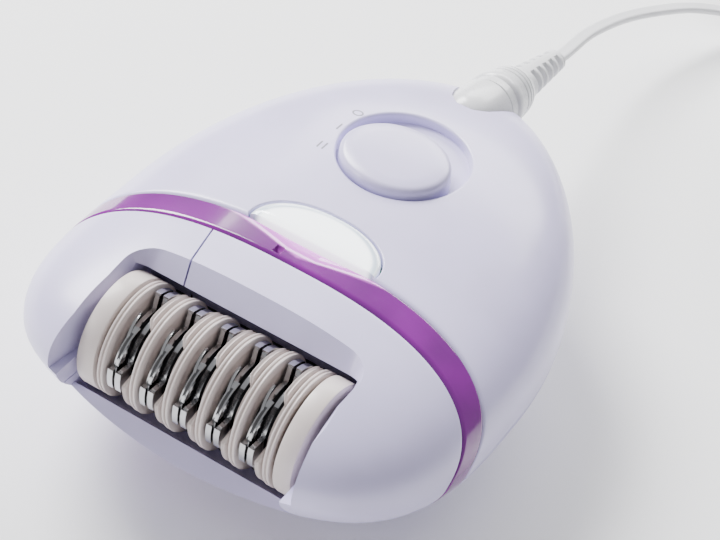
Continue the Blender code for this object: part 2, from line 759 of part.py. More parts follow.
mesh_deg = -PULL_RISE_DEG
reach = centre_distance(DRUM_TEETH, DRIVE_TEETH)
DRIVE_Y = DRUM_Y + reach * math.cos(math.radians(mesh_deg))
DRIVE_Z = DRUM_Z + reach * math.sin(math.radians(mesh_deg))
reach = centre_distance(REDUCTION_TEETH, PINION_TEETH)
MOTOR_Y = DRIVE_Y + reach * math.cos(math.radians(-MOTOR_DROP_DEG))
MOTOR_Z = DRIVE_Z + reach * math.sin(math.radians(-MOTOR_DROP_DEG))

gear("drum_gear", DRUM_TEETH, mesh_deg, SHAFT_RADIUS + GAP, DRUM_GEAR_X, DRUM_Y, DRUM_Z, NYLON)
gear("drive_gear", DRIVE_TEETH, mesh_deg + 180 + 180 / DRIVE_TEETH, AXLE_RADIUS + GAP,
     DRUM_GEAR_X, DRIVE_Y, DRIVE_Z, NYLON)
gear("reduction_gear", REDUCTION_TEETH, -MOTOR_DROP_DEG, AXLE_RADIUS + GAP,
     REDUCTION_X, DRIVE_Y, DRIVE_Z, NYLON)
gear("motor_pinion", PINION_TEETH, 180 - MOTOR_DROP_DEG + 180 / PINION_TEETH, MOTOR_SHAFT_RADIUS + GAP,
     REDUCTION_X, MOTOR_Y, MOTOR_Z, BRASS)

BRACKET_X = REDUCTION_X + GEAR_WIDTH + 0.6
BRACKET_THICKNESS = 1.2
rod("gear_axle", AXLE_RADIUS, DRUM_GEAR_X - 0.4, BRACKET_X - GAP, DRIVE_Y, DRIVE_Z, STEEL, 16)
bracket_outline = [
    (DRIVE_Y - 3.0, DRIVE_Z - 3.0),
    (MOTOR_Y + 2.0, MOTOR_Z - 3.5),
    (MOTOR_Y + 4.0, MOTOR_Z + 3.0),
    (DRIVE_Y - 3.0, DRIVE_Z + 3.0),
]
side_prism("gear_bracket", bracket_outline, BRACKET_X, BRACKET_X + BRACKET_THICKNESS, CASING)

MOTOR_END_X = DRUM_GEAR_X - 3.0
MOTOR_START_X = MOTOR_END_X - MOTOR_LENGTH
motor_profile = [
    (MOTOR_SHAFT_RADIUS + GAP, MOTOR_END_X + MOTOR_BOSS_HEIGHT),
    (MOTOR_BOSS_RADIUS, MOTOR_END_X + MOTOR_BOSS_HEIGHT),
    (MOTOR_BOSS_RADIUS, MOTOR_END_X),
    (MOTOR_RADIUS - MOTOR_EDGE, MOTOR_END_X),
    (MOTOR_RADIUS, MOTOR_END_X - MOTOR_EDGE),
    (MOTOR_RADIUS, MOTOR_START_X + MOTOR_EDGE),
    (MOTOR_RADIUS - MOTOR_EDGE, MOTOR_START_X),
    (MOTOR_SHAFT_RADIUS + GAP, MOTOR_START_X),
]
turned("motor_can", motor_profile, at(0, MOTOR_Y, MOTOR_Z), "X", 32, CASING, True)
rod("motor_shaft", MOTOR_SHAFT_RADIUS, MOTOR_START_X, REDUCTION_X + GEAR_WIDTH,
    MOTOR_Y, MOTOR_Z, STEEL, 16)

# The deck is open where the gears pass from the handle into the head.
gear_reach = GEAR_MODULE * REDUCTION_TEETH / 2 + 1.4
window_z = DRIVE_Z + 0.6
window_half_z = gear_reach - 1.6
gear_window = as_cutter(
    block(
        "gear_window",
        (DRUM_GEAR_X - 0.8, DRIVE_Y - gear_reach - 2, window_z - window_half_z),
        (BRACKET_X + BRACKET_THICKNESS + 0.5, DRIVE_Y + gear_reach, window_z + window_half_z),
    )
)
boolean(deck, gear_window)

# ---------------------------------------------------------------- head release button
release_face = REST_Z + RELEASE_INSET
release_flange = RELEASE_RADIUS + RELEASE_FLANGE
release_profile = [
    (0, release_face + RELEASE_HEIGHT),
    (release_flange, release_face + RELEASE_HEIGHT),
    (release_flange, release_face + RELEASE_NECK),
    (RELEASE_RADIUS, release_face + RELEASE_NECK),
    (RELEASE_RADIUS, release_face + RELEASE_CHAMFER),
    (RELEASE_RADIUS - RELEASE_CHAMFER, release_face),
    (0, release_face),
]
turned("release_button", release_profile, at(0, RELEASE_Y, 0), "Z", 28, VIOLET)

# ---------------------------------------------------------------- socket, plug and strain relief
SOCKET_MOUTH = -3.2
socket_profile = [
    (0, SOCKET_FLOOR - SOCKET_DEPTH),
    (PIN_RADIUS + GAP, SOCKET_FLOOR - SOCKET_DEPTH),
    (PIN_RADIUS + GAP, SOCKET_MOUTH),
    (SOCKET_RADIUS + SOCKET_WALL, SOCKET_MOUTH),
    (SOCKET_RADIUS + SOCKET_WALL, -SOCKET_DEPTH),
    (0, -SOCKET_DEPTH),
]
tail_turned("inlet_socket", socket_profile, BLACK)

PLUG_START = -2.6
PLUG_END = PLUG_START + PLUG_LENGTH
plug_profile = [
    (0, PLUG_END),
    (3.9, PLUG_END),
    (4.9, PLUG_END - 0.8),
    (PLUG_RADIUS, PLUG_END - 2.0),
    (PLUG_RADIUS, PLUG_START + 3.0),
    (SOCKET_RADIUS + 0.8, PLUG_START + 2.0),
    (SOCKET_RADIUS + 0.8, PLUG_START),
    (PIN_RADIUS, PLUG_START),
    (PIN_RADIUS, -SOCKET_DEPTH + SOCKET_FLOOR + 0.8),
    (0, -SOCKET_DEPTH + SOCKET_FLOOR + 0.8),
]
tail_turned("appliance_plug", plug_profile, PALE)
RELIEF_START = PLUG_END + GAP
relief_profile = [
    (0, RELIEF_START + RELIEF_LENGTH),
    (RELIEF_END_RADIUS, RELIEF_START + RELIEF_LENGTH),
    (RELIEF_START_RADIUS, RELIEF_START),
    (0, RELIEF_START),
]
tail_turned("strain_relief", relief_profile, PALE, steps=20)


# ---------------------------------------------------------------- the free lead
def smooth_route(points, spacing):
    """Even points along a smooth curve through the route's own points."""
    count = len(points)
    fine = []
    for index in range(count - 1):
        before = Vector(points[max(index - 1, 0)])
        start, end = Vector(points[index]), Vector(points[index + 1])
        after = Vector(points[min(index + 2, count - 1)])
        for step in range(12):
            t = step / 12
            fine.append(
                0.5
                * (
                    2 * start
                    + (end - before) * t
                    + (2 * before - 5 * start + 4 * end - after) * t ** 2
                    + (3 * start - before - 3 * end + after) * t ** 3
                )
            )
    fine.append(Vector(points[-1]))
    total = sum((b - a).length for a, b in zip(fine, fine[1:]))
    pieces = max(2, round(total / spacing))
    even = [fine[0]]
    walked = 0.0
    for a, b in zip(fine, fine[1:]):
        walked += (b - a).length
        if walked >= total * len(even) / pieces - 1e-9:
            even.append(b)
    return even


def lead_tube(name, route):
    curve = bpy.data.curves.new(name, "CURVE")
    curve.dimensions = "3D"
    curve.bevel_depth = LEAD_DIAMETER / 2 * MM
    curve.bevel_resolution = 2
    curve.use_fill_caps = True
    points = smooth_route(route, LEAD_DIAMETER * 2.5)
    spline = curve.splines.new("POLY")
    spline.points.add(len(points) - 1)
    for spot, point in zip(spline.points, points):
        spot.co = (*(point * MM), 1.0)
    tube = bpy.data.objects.new(name, curve)
    parts.objects.link(tube)
    curve.materials.append(PALE)
    return tube


relief_tip = tail_point / MM + socket_direction * (RELIEF_START + RELIEF_LENGTH + GAP)
first_run = (tuple(relief_tip), tuple(relief_tip + socket_direction * 4.0))
lead_tube("cord_run", first_run + LEAD_ROUTE)
lead_tube("cord_tail", TAIL_ROUTE)

coil_inner = COIL_MEAN_RADIUS - COIL_HALF_BUILD
coil_outer = COIL_MEAN_RADIUS + COIL_HALF_BUILD
coil_top = TABLE_GAP + COIL_HEIGHT
coil_profile = [
    (coil_outer - COIL_EDGE, coil_top),
    (coil_outer, coil_top - COIL_EDGE),
    (coil_outer, TABLE_GAP + COIL_EDGE),
    (coil_outer - COIL_EDGE, TABLE_GAP),
    (coil_inner + COIL_EDGE, TABLE_GAP),
    (coil_inner, TABLE_GAP + COIL_EDGE),
    (coil_inner, coil_top - COIL_EDGE),
    (coil_inner + COIL_EDGE, coil_top),
]
coil_centre = Vector((COIL_X * MM, COIL_Y * MM, 0))
turned("cord_coil", coil_profile, coil_centre, "Z", 32, PALE, True)

# ---------------------------------------------------------------- wall adapter
adapter_low = Vector((ADAPTER_X - ADAPTER_WIDTH / 2, ADAPTER_Y - ADAPTER_LENGTH / 2, TABLE_GAP)) * MM
adapter_work = bmesh.new()
bmesh.ops.create_cube(adapter_work, size=1.0)
adapter_size = Vector((ADAPTER_WIDTH, ADAPTER_LENGTH, ADAPTER_HEIGHT)) * MM
bmesh.ops.scale(adapter_work, verts=adapter_work.verts, vec=adapter_size)
bmesh.ops.translate(adapter_work, verts=adapter_work.verts, vec=adapter_low + adapter_size / 2)
adapter = mesh_object("wall_adapter", adapter_work, PALE, False)
rounding = adapter.modifiers.new("rounding", "BEVEL")
rounding.width = ADAPTER_ROUNDING * MM
rounding.segments = 2
rounding.limit_method = "ANGLE"
for side, name in ((-1, "mains_pin_left"), (1, "mains_pin_right")):
    start = ADAPTER_Y + ADAPTER_LENGTH / 2 + GAP
    profile = [
        (0, MAINS_PIN_LENGTH),
        (MAINS_PIN_RADIUS - 0.5, MAINS_PIN_LENGTH),
        (MAINS_PIN_RADIUS, MAINS_PIN_LENGTH - 1.0),
        (MAINS_PIN_RADIUS, 0),
        (0, 0),
    ]
    foot = Vector((ADAPTER_X + side * MAINS_PIN_SPREAD / 2, start, ADAPTER_HEIGHT / 2)) * MM
    turned(name, profile, foot, "Z", 16, STEEL, False, (math.radians(-90), 0, 0))
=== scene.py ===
"""A corded epilator with its tweezer drum, work light, slide switch and low-voltage lead.

Sizes are in millimetres from a design point on the body's top centre line, where the head meets the
trim band. at() turns them into metres in the part's own frame.
"""

import json
import math

import bpy
from mathutils import Matrix, Vector

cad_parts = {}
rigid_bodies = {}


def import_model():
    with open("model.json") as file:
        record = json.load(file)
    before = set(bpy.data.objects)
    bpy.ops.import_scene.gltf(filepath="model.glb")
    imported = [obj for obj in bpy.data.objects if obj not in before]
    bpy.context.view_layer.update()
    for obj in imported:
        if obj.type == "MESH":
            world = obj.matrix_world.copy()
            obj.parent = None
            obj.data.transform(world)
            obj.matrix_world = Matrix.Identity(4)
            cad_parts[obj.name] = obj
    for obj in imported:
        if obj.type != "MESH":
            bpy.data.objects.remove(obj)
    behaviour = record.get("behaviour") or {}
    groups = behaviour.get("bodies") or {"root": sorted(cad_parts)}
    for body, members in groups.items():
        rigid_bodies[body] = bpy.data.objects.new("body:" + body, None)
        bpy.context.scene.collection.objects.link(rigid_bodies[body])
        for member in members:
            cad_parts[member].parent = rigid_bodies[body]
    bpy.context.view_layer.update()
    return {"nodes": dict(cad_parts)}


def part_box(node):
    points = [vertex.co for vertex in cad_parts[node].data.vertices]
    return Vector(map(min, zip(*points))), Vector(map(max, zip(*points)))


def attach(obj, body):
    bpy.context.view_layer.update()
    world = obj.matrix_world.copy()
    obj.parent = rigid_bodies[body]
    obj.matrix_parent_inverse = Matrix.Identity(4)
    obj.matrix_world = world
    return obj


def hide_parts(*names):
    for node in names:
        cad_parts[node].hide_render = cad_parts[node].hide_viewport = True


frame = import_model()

MM = 0.001
DESIGN_POINT = Vector((0.0, -14.06, 31.4))


def at(x, y, z):
    return (Vector((x, y, z)) + DESIGN_POINT) * MM


# ------------------------------------------------------------------ camera
# A long lens looks down on the switch face from the front right, rolled a little, so that the head
# lies towards the lower left and the lead leaves at the upper right.
AZIMUTH = math.radians(26.8)
ELEVATION = math.radians(43.17)
ROLL = math.radians(8.22)
across = Vector((math.cos(AZIMUTH), math.sin(AZIMUTH), 0.0))
back = Vector(
    (math.sin(AZIMUTH) * math.cos(ELEVATION), -math.cos(AZIMUTH) * math.cos(ELEVATION), math.sin(ELEVATION))
)
level_up = back.cross(across)
right = across * math.cos(ROLL) + level_up * math.sin(ROLL)
up = level_up * math.cos(ROLL) - across * math.sin(ROLL)
camera_data = bpy.data.cameras.new("camera")
camera_data.lens = 100.0
camera_data.sensor_width = 36.0
camera_data.clip_start = 0.01
camera = bpy.data.objects.new("camera", camera_data)
bpy.context.scene.collection.objects.link(camera)
eye = (DESIGN_POINT + back * 281.75 + right * 9.06 - up * 1.52) * MM
camera.matrix_world = Matrix(
    (
        (right.x, up.x, back.x, eye.x),
        (right.y, up.y, back.y, eye.y),
        (right.z, up.z, back.z, eye.z),
        (0.0, 0.0, 0.0, 1.0),
    )
)
bpy.context.scene.camera = camera


# ------------------------------------------------------------------ low-voltage lead
# A flat twin lead of soft grey-white PVC, two insulated cores side by side with a groove between
# them. It runs down to the table and the spare length is wound in a flat coil held by a tie.
class Value:
    """A shader socket that takes part in plain arithmetic."""

    def __init__(self, finish, socket):
        self.finish = finish
        self.socket = socket

    def combine(self, operation, first, second):
        node = self.finish.node("Math", {"operation": operation}, {0: first, 1: second})
        return Value(self.finish, node.outputs[0])

    def __add__(self, other):
        return self.combine("ADD", self, other)

    def __radd__(self, other):
        return self.combine("ADD", other, self)

    def __sub__(self, other):
        return self.combine("SUBTRACT", self, other)

    def __rsub__(self, other):
        return self.combine("SUBTRACT", other, self)

    def __mul__(self, other):
        return self.combine("MULTIPLY", self, other)

    def __truediv__(self, other):
        return self.combine("DIVIDE", self, other)

    def size(self):
        return self.combine("ABSOLUTE", self, 0.0)

    def smooth(self, low, high):
        """0 below low and 1 above high, with an eased step between."""
        node = self.finish.node(
            "MapRange",
            {"interpolation_type": "SMOOTHSTEP"},
            {"Value": self, "From Min": low, "From Max": high},
        )
        return Value(self.finish, node.outputs[0])


class Finish:
    """One material, its Principled shader and the nodes that vary over the piece."""

    def __init__(self, name, colour, roughness, metallic=0.0, **constant):
        self.material = bpy.data.materials.new(name)
        self.material.use_nodes = True
        self.tree = self.material.node_tree
        self.shader = self.tree.nodes["Principled BSDF"]
        self.colour = (*colour, 1.0)
        self.roughness = roughness
        self.shader.inputs["Base Color"].default_value = self.colour
        self.shader.inputs["Roughness"].default_value = roughness
        self.shader.inputs["Metallic"].default_value = metallic
        for label, value in constant.items():
            self.shader.inputs[label.replace("_", " ")].default_value = value
        self.place = self.node("TexCoord").outputs["Object"]

    def node(self, kind, settings=None, sockets=None):
        node = self.tree.nodes.new("ShaderNode" + kind)
        for label, value in (settings or {}).items():
            setattr(node, label, value)
        for label, value in (sockets or {}).items():
            self.feed(node.inputs[label], value)
        return node

    def feed(self, socket, value):
        if isinstance(value, Value):
            value = value.socket
        if isinstance(value, bpy.types.NodeSocket):
            self.tree.links.new(value, socket)
        else:
            socket.default_value = value

    def noise(self, size_mm, detail=3.0, stretch=None):
        """Noise whose features are about size_mm across, stretched along an axis if asked."""
        place = self.place
        if stretch is not None:
            place = self.node("Mapping", None, {"Vector": place, "Scale": stretch}).outputs[0]
        sockets = {"Vector": place, "Scale": 1.0 / (size_mm * MM), "Detail": detail}
        return Value(self, self.node("TexNoise", None, sockets).outputs["Fac"])

    def axis(self, letter):
        """A coordinate in millimetres from the design point."""
        split = self.node("SeparateXYZ", None, {0: self.place})
        return Value(self, split.outputs[letter]) / MM - DESIGN_POINT["XYZ".index(letter)]

    def mix(self, factor, first, second):
        node = self.node("Mix", {"data_type": "RGBA"}, {0: factor, 6: first, 7: second})
        return node.outputs[2]

    def tint(self, factor, other):
        """Goes from the base colour to another by a factor."""
        self.feed(self.shader.inputs["Base Color"], self.mix(factor, self.colour, (*other, 1.0)))

    def grain(self, height, depth_mm, roughness_spread=0.06):
        """Surface grain: a bump of depth_mm and a matching change of roughness."""
        bump = self.node("Bump", None, {"Strength": 1.0, "Distance": depth_mm * MM, "Height": height})
        self.feed(self.shader.inputs["Normal"], bump.outputs[0])
        self.feed(self.shader.inputs["Roughness"], self.roughness + (height - 0.5) * roughness_spread)


def moulded(name, colour, roughness, grain_mm=0.35, depth_mm=0.004, **constant):
    """Moulded plastic: fine even grain, and colour that drifts a little over the piece."""
    finish = Finish(name, colour, roughness, 0.0, **constant)
    shade = tuple(part * 0.93 for part in colour)
    finish.tint(finish.noise(11.0, 2.0).smooth(0.35, 0.75), shade)
    finish.grain(finish.noise(grain_mm, 4.0), depth_mm)
    return finish.material


LEAD_PVC = moulded("lead_pvc", (0.72, 0.72, 0.74), 0.36, 0.5, 0.006, Coat_Weight=0.12)


def choose(*things):
    for thing in bpy.context.view_layer.objects:
        if thing.select_get():
            thing.select_set(False)
    for thing in things:
        thing.select_set(True)
    bpy.context.view_layer.objects.active = things[-1]


def in_edit_mode(thing, *steps):
    choose(thing)
    bpy.ops.object.mode_set(mode="EDIT")
    bpy.ops.mesh.select_all(action="SELECT")
    for step in steps:
        step()
    bpy.ops.object.mode_set(mode="OBJECT")


def close_up():
    bpy.ops.mesh.remove_doubles(threshold=0.0000005)
    bpy.ops.mesh.normals_make_consistent(inside=False)


def skin(name, rows, smooth_deg=32.0):
    """A grid laid through rows of points; seams and poles that meet are merged."""
    for thing in bpy.context.selected_objects:
        thing.select_set(False)
    columns = len(rows[0])
    bpy.ops.mesh.primitive_grid_add(x_subdivisions=columns - 1, y_subdivisions=len(rows) - 1, size=0.01)
    piece = bpy.context.active_object
    piece.name = name
    piece.data.name = name
    flat = [part for row in rows for point in row for part in point]
    piece.data.vertices.foreach_set("co", flat)
    piece.data.update()
    in_edit_mode(piece, close_up)
    shade(piece, smooth_deg)
    return piece


def shade(piece, smooth_deg=32.0):
    choose(piece)
    bpy.ops.object.shade_smooth_by_angle(angle=math.radians(smooth_deg))


def fit(piece, body, material, slot, *nodes):
    """Finishes a piece: its material, the body it rides on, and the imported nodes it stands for."""
    piece.data.materials.clear()
    piece.data.materials.append(material)
    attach(piece, body)
    if nodes:
        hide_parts(*nodes)
    return piece


def even_route(points, spacing):
    """Evenly spaced points along a smooth curve through given ones."""
    fine = []
    last = len(points) - 1
    for index in range(last):
        before, start = Vector(points[max(index - 1, 0)]), Vector(points[index])
        end, after = Vector(points[index + 1]), Vector(points[min(index + 2, last)])
        for step in range(16):
            t = step / 16
            fine.append(
                0.5
                * (
                    2 * start
                    + (end - before) * t
                    + (2 * before - 5 * start + 4 * end - after) * t ** 2
                    + (3 * start - before - 3 * end + after) * t ** 3
                )
            )
    fine.append(Vector(points[-1]))
    even = [fine[0]]
    for point in fine[1:-1]:
        if (point - even[-1]).length >= spacing:
            even.append(point)
    return even + [fine[-1]]


PLUG_DROOP = math.radians(12.0)
OUTWARD = Vector((0.0, math.cos(PLUG_DROOP), -math.sin(PLUG_DROOP)))
TAIL_POINT = Vector((0.0, 59.55, -8.8)) + DESIGN_POINT
RELIEF_START = 8.7
RELIEF_LENGTH = 15.0
LEAD_WIDTH = 2.6
LEAD_DEPTH = 1.5
relief_tip = TAIL_POINT + OUTWARD * (RELIEF_START + RELIEF_LENGTH)
LEAD_ROUTE = (
    (-0.3, 81.1, 15.4),
    (0.0, 87.0, 14.1),
    (0.8, 93.6, 12.5),
    (2.0, 99.1, 11.1),
    (3.8, 104.6, 9.7),
    (7.1, 111.9, 7.9),
    (11.3, 118.3, 5.7),
    (17.0, 124.0, 3.5),
    (23.5, 128.7, 2.0),
    (30.5, 132.3, 1.4),
)
TAIL_ROUTE = ((38.5, 136.0, 3.4), (42.0, 136.7, 4.7), (44.7, 136.9, 5.4))
COIL_CENTRE = Vector((18.0, 154.0, 0.0))
ENTRY_RADIUS = 25.1
LEAVING_RADIUS, LEAVING_Z = 22.6, 4.0
INNER_TURN = 9.0
LAYER_Z = 1.4
TURN_STEPS = 36
ENTRY_DEG = -60.0

# Each turn's place in the winding: its column out from the middle, then its layer.
inward = [(column, 0) for column in (5, 4, 3, 2, 1, 0)]
outward = [(0, 1), (1, 2), (1, 1), (2, 1), (2, 2), (3, 2), (3, 1), (4, 1), (4, 2), (5, 2), (5, 1)]


def coil_point(radius, height, angle):
    return COIL_CENTRE + Vector((radius * math.cos(angle), radius * math.sin(angle), height))


def eased(t):
    t = min(max(t, 0.0), 1.0)
    return t * t * (3 - 2 * t)


def winding():
    """The coil's turns, each easing over from the place of the one before."""
    spots = [
        (INNER_TURN + LEAD_WIDTH * column, LAYER_Z + LEAD_WIDTH * layer) for column, layer in inward + outward
    ]
    points = []
    before = (ENTRY_RADIUS, LAYER_Z)
    for turn, spot in enumerate(spots):
        for step in range(TURN_STEPS):
            if turn == 0 and step == 0:
                continue
            share = step / TURN_STEPS
            move = eased(share / 0.25)
            radius = before[0] + (spot[0] - before[0]) * move
            height = before[1] + (spot[1] - before[1]) * move
            points.append(coil_point(radius, height, math.radians(ENTRY_DEG) + math.tau * share))
        before = spot
    return points


coil_turns = winding()
leaving = [coil_point(LEAVING_RADIUS, LEAVING_Z, math.radians(ENTRY_DEG)), Vector((34.6, 134.9, 3.2))]
first_run = [relief_tip + OUTWARD * 0.3, relief_tip + OUTWARD * 4.3]
run_points = even_route([*first_run, *LEAD_ROUTE], 2.4)
tail_points = even_route([*leaving, *TAIL_ROUTE], 1.8)
lead_path = run_points + coil_turns + tail_points


def flat_section(side, lift):
    """Two cores side by side: full at each core's crown, pinched at the groove between."""
    ring = []
    for step in range(16):
        turn = math.tau * (step + 0.5) / 16
        reach = LEAD_WIDTH / 2 * math.cos(turn)
        groove = 1 - 0.34 * math.exp(-((reach / 0.38) ** 2))
        rise = LEAD_DEPTH / 2 * math.copysign(abs(math.sin(turn)) ** 0.6, math.sin(turn)) * groove
        ring.append(side * reach + lift * rise)
    return ring + ring[:1]


lead_rows = []
for index, point in enumerate(lead_path):
    ahead = lead_path[min(index + 1, len(lead_path) - 1)] - lead_path[max(index - 1, 0)]
    side = ahead.cross(Vector((0, 0, 1))).normalized()
    lift = side.cross(ahead).normalized()
    ring = [(point + offset) * MM for offset in flat_section(side, lift)]
    if index in (0, len(lead_path) - 1):
        centre = [point * MM] * len(ring)
        lead_rows += [centre, ring] if index == 0 else [ring, centre]
    else:
        lead_rows.append(ring)
lead = fit(skin("twin_lead", lead_rows, 50), "handle", LEAD_PVC, "lead_grey", "cord_run", "cord_coil", "cord_tail")

# ------------------------------------------------------------------ tie round the coil
# A soft strap closed on itself, which keeps the spare turns together.
TIE_DEG = 52.0
TIE_WIDTH = 7.0
tie_finish = moulded("tie_strap", (0.50, 0.50, 0.53), 0.7, 0.5, 0.03)


def rounded_loop(low, high, bottom, top, corner):
    """A closed rectangle with round corners in two coordinates, counter-clockwise from the right."""
    loop = []
    right, left, back, front = high - corner, low + corner, top - corner, bottom + corner
    for quarter, (x, y) in enumerate(((right, back), (left, back), (left, front), (right, front))):
        for step in range(7):
            angle = math.radians(90 * quarter + 15 * step)
            loop.append((x + corner * math.cos(angle), y + corner * math.sin(angle)))
    return loop + loop[:1]


tie_ray = Vector((math.cos(math.radians(TIE_DEG)), math.sin(math.radians(TIE_DEG)), 0))
tie_side = Vector((-tie_ray.y, tie_ray.x, 0))
outer_loop = rounded_loop(7.2, 23.8, 0.25, 8.2, 1.2)
inner_loop = rounded_loop(7.6, 23.4, 0.6, 7.8, 0.9)
tie_rows = []
half_tie = TIE_WIDTH / 2
for loop, half in (
    (outer_loop, half_tie - 0.2),
    (outer_loop, -half_tie + 0.2),
    (inner_loop, -half_tie),
    (inner_loop, half_tie),
):
    edge = COIL_CENTRE + tie_side * half
    tie_rows.append([(edge + tie_ray * out + Vector((0, 0, rise))) * MM for out, rise in loop])
tie = fit(skin("coil_tie", tie_rows + tie_rows[:1]), "handle", tie_finish, "lead_grey")

# ------------------------------------------------------------------ strain relief
# A tapered sleeve of the lead's own PVC, moulded on as a ladder: ribs joined by a spine above and
# below, with open windows at the sides, so that it bends evenly.
RIBS = 6
RIB_LENGTH = 1.35
RELIEF_START_RADIUS = 3.4
RELIEF_END_RADIUS = 2.1
CORE_RADIUS = 1.45


def tail_ring(along, radii_at, steps=48):
    """A ring on the socket's axis; radii_at(turn) gives its radius sideways and upwards."""
    side = Vector((1, 0, 0))
    lift = side.cross(OUTWARD)
    ring = []
    for step in range(steps + 1):
        turn = math.tau * (step % steps) / steps
        wide, tall = radii_at(turn)
        offset = side * (wide * math.cos(turn)) + lift * (tall * math.sin(turn))
        ring.append((TAIL_POINT + OUTWARD * along + offset) * MM)
    return ring


def tail_turned(stations, steps=48):
    """Round rings on the socket's axis at (along, radius) stations."""
    return [tail_ring(along, lambda turn: (radius, radius), steps) for along, radius in stations]


def ladder_ring(along, open_share):
    """A ring of the sleeve; the windows sink in beside the spines by open_share."""
    share = (along - RELIEF_START) / RELIEF_LENGTH
    full = RELIEF_START_RADIUS + (RELIEF_END_RADIUS - RELIEF_START_RADIUS) * share

    def radii_at(turn):
        beside_spine = eased((abs(math.cos(turn)) - 0.30) / 0.16)
        radius = full - (full - CORE_RADIUS) * open_share * beside_spine
        return radius, radius * 0.86

    return tail_ring(along, radii_at)


relief_rows = [*tail_turned([(RELIEF_START, 0.0)]), ladder_ring(RELIEF_START, 0.0)]
relief_end = RELIEF_START + RELIEF_LENGTH
rib_pitch = (RELIEF_LENGTH - RIB_LENGTH - 1.0) / (RIBS - 1)
for rib in range(RIBS):
    start = RELIEF_START + 0.5 + rib * rib_pitch
    for offset, open_share in (
        (0.0, 1.0 if rib else 0.0),
        (0.14, 0.16 if rib else 0.0),
        (0.32, 0.0),
        (RIB_LENGTH - 0.32, 0.0),
        (RIB_LENGTH - 0.14, 0.16),
        (RIB_LENGTH, 1.0 if rib < RIBS - 1 else 0.0),
    ):
        relief_rows.append(ladder_ring(start + offset, open_share))
relief_rows.append(ladder_ring(relief_end - 0.25, 0.0))
relief_rows.append(tail_ring(relief_end, lambda turn: (RELIEF_END_RADIUS - 0.3, RELIEF_END_RADIUS - 0.5)))
relief_rows += tail_turned([(relief_end, 0.0)])
relief = fit(skin("lead_relief", relief_rows), "handle", LEAD_PVC, "lead_grey", "strain_relief")

# ------------------------------------------------------------------ appliance plug
# A round two-pole plug moulded on the lead: a grip with a raised rim towards the handle and three
# fine grooves behind it, tapering into the relief.
PLUG_PVC = moulded("plug_moulding", (0.74, 0.74, 0.76), 0.28, 0.4, 0.004, Coat_Weight=0.25)
plug_stations = (
    (-9.8, 0.0), (-9.8, 2.1), (-9.4, 2.4), (-2.7, 2.4), (-2.6, 4.4), (-2.3, 4.75), (-0.9, 4.8), (-0.6, 4.8),
    (-0.3, 5.1), (0.0, 5.2), (0.9, 5.2), (1.2, 5.1), (1.3, 4.85), (1.7, 4.8), (3.2, 4.75), (3.35, 4.5),
    (3.55, 4.5),
    (3.7, 4.72), (4.4, 4.68), (4.55, 4.42), (4.75, 4.42), (4.9, 4.62), (5.6, 4.52), (5.75, 4.28), (5.95, 4.28),
    (6.1, 4.42), (7.0, 4.15), (7.7, 3.85), (8.15, 3.55), (8.35, 3.1), (8.4, 0.0),
)
plug = skin("plug_body", tail_turned(plug_stations, 64), 40)
fit(plug, "handle", PLUG_PVC, "lead_grey", "appliance_plug")

# ------------------------------------------------------------------ inlet socket
# The socket that the plug sits in: a round white cup held in the tail, its nose tapering into the
# handle and its bore taking the plug's two-pole spigot.
socket_stations = (
    (-12.0, 0.0), (-12.0, 3.7), (-11.6, 4.1), (-10.0, 4.65), (-8.0, 4.95), (-5.0, 5.12), (-3.4, 5.15),
    (-3.2, 4.95), (-3.2, 2.8), (-10.6, 2.8), (-10.6, 0.0),
)
fit(skin("socket_cup", tail_turned(socket_stations, 64), 40), "handle", PLUG_PVC, "lead_grey", "inlet_socket")

# ------------------------------------------------------------------ wall adapter
# The plug-in supply at the far end: a two-part case welded along a seam, with the lead coming in at
# its side and two round mains pins at the end.
ADAPTER_LOW, ADAPTER_HIGH = (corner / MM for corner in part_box("wall_adapter"))
adapter_finish = moulded("adapter_case", (0.70, 0.70, 0.72), 0.42, 0.7, 0.02)


def box_rows(low_z, high_z, rounding):
    """Heights up a rounded box and how far its sides are set in there, with a fine seam half way."""
    edge = []
    for step in range(7):
        angle = math.radians(15 * step)
        edge.append((rounding * (1 - math.cos(angle)), rounding * (1 - math.sin(angle))))
    seam_z = (low_z + high_z) / 2
    rows = [(low_z + rise, inset) for rise, inset in edge]
    rows += [(seam_z - 0.35, 0.0), (seam_z - 0.2, 0.25), (seam_z + 0.2, 0.25), (seam_z + 0.35, 0.0)]
    return rows + [(high_z - rise, inset) for rise, inset in reversed(edge)]


adapter_rows = []
middle = (ADAPTER_LOW + ADAPTER_HIGH) / 2
for z, inset in box_rows(ADAPTER_LOW.z, ADAPTER_HIGH.z, 3.0):
    low, high = ADAPTER_LOW, ADAPTER_HIGH
    loop = rounded_loop(low.x + inset, high.x - inset, low.y + inset, high.y - inset, 3.2)
    adapter_rows.append([Vector((x, y, z)) * MM for x, y in loop])
count = len(adapter_rows[0])
adapter_rows.insert(0, [Vector((middle.x, middle.y, ADAPTER_LOW.z)) * MM] * count)
adapter_rows.append([Vector((middle.x, middle.y, ADAPTER_HIGH.z)) * MM] * count)
adapter = fit(skin("adapter_shell", adapter_rows, 40), "handle", adapter_finish, "lead_grey", "wall_adapter")


def metal(name, colour, roughness, brush_mm=0.25, stretch=(0.06, 1.0, 1.0), depth_mm=0.002):
    """Bright metal with fine lines along one axis and a slow drift in its shine."""
    finish = Finish(name, colour, roughness, 1.0)
    finish.tint(finish.noise(6.0, 2.0).smooth(0.4, 0.8), tuple(part * 0.82 for part in colour))
    finish.grain(finish.noise(brush_mm, 3.0, stretch), depth_mm, 0.22)
    return finish.material


pin_metal = metal("plated_pin", (0.70, 0.68, 0.62), 0.24, 0.3, (1.0, 0.06, 1.0))


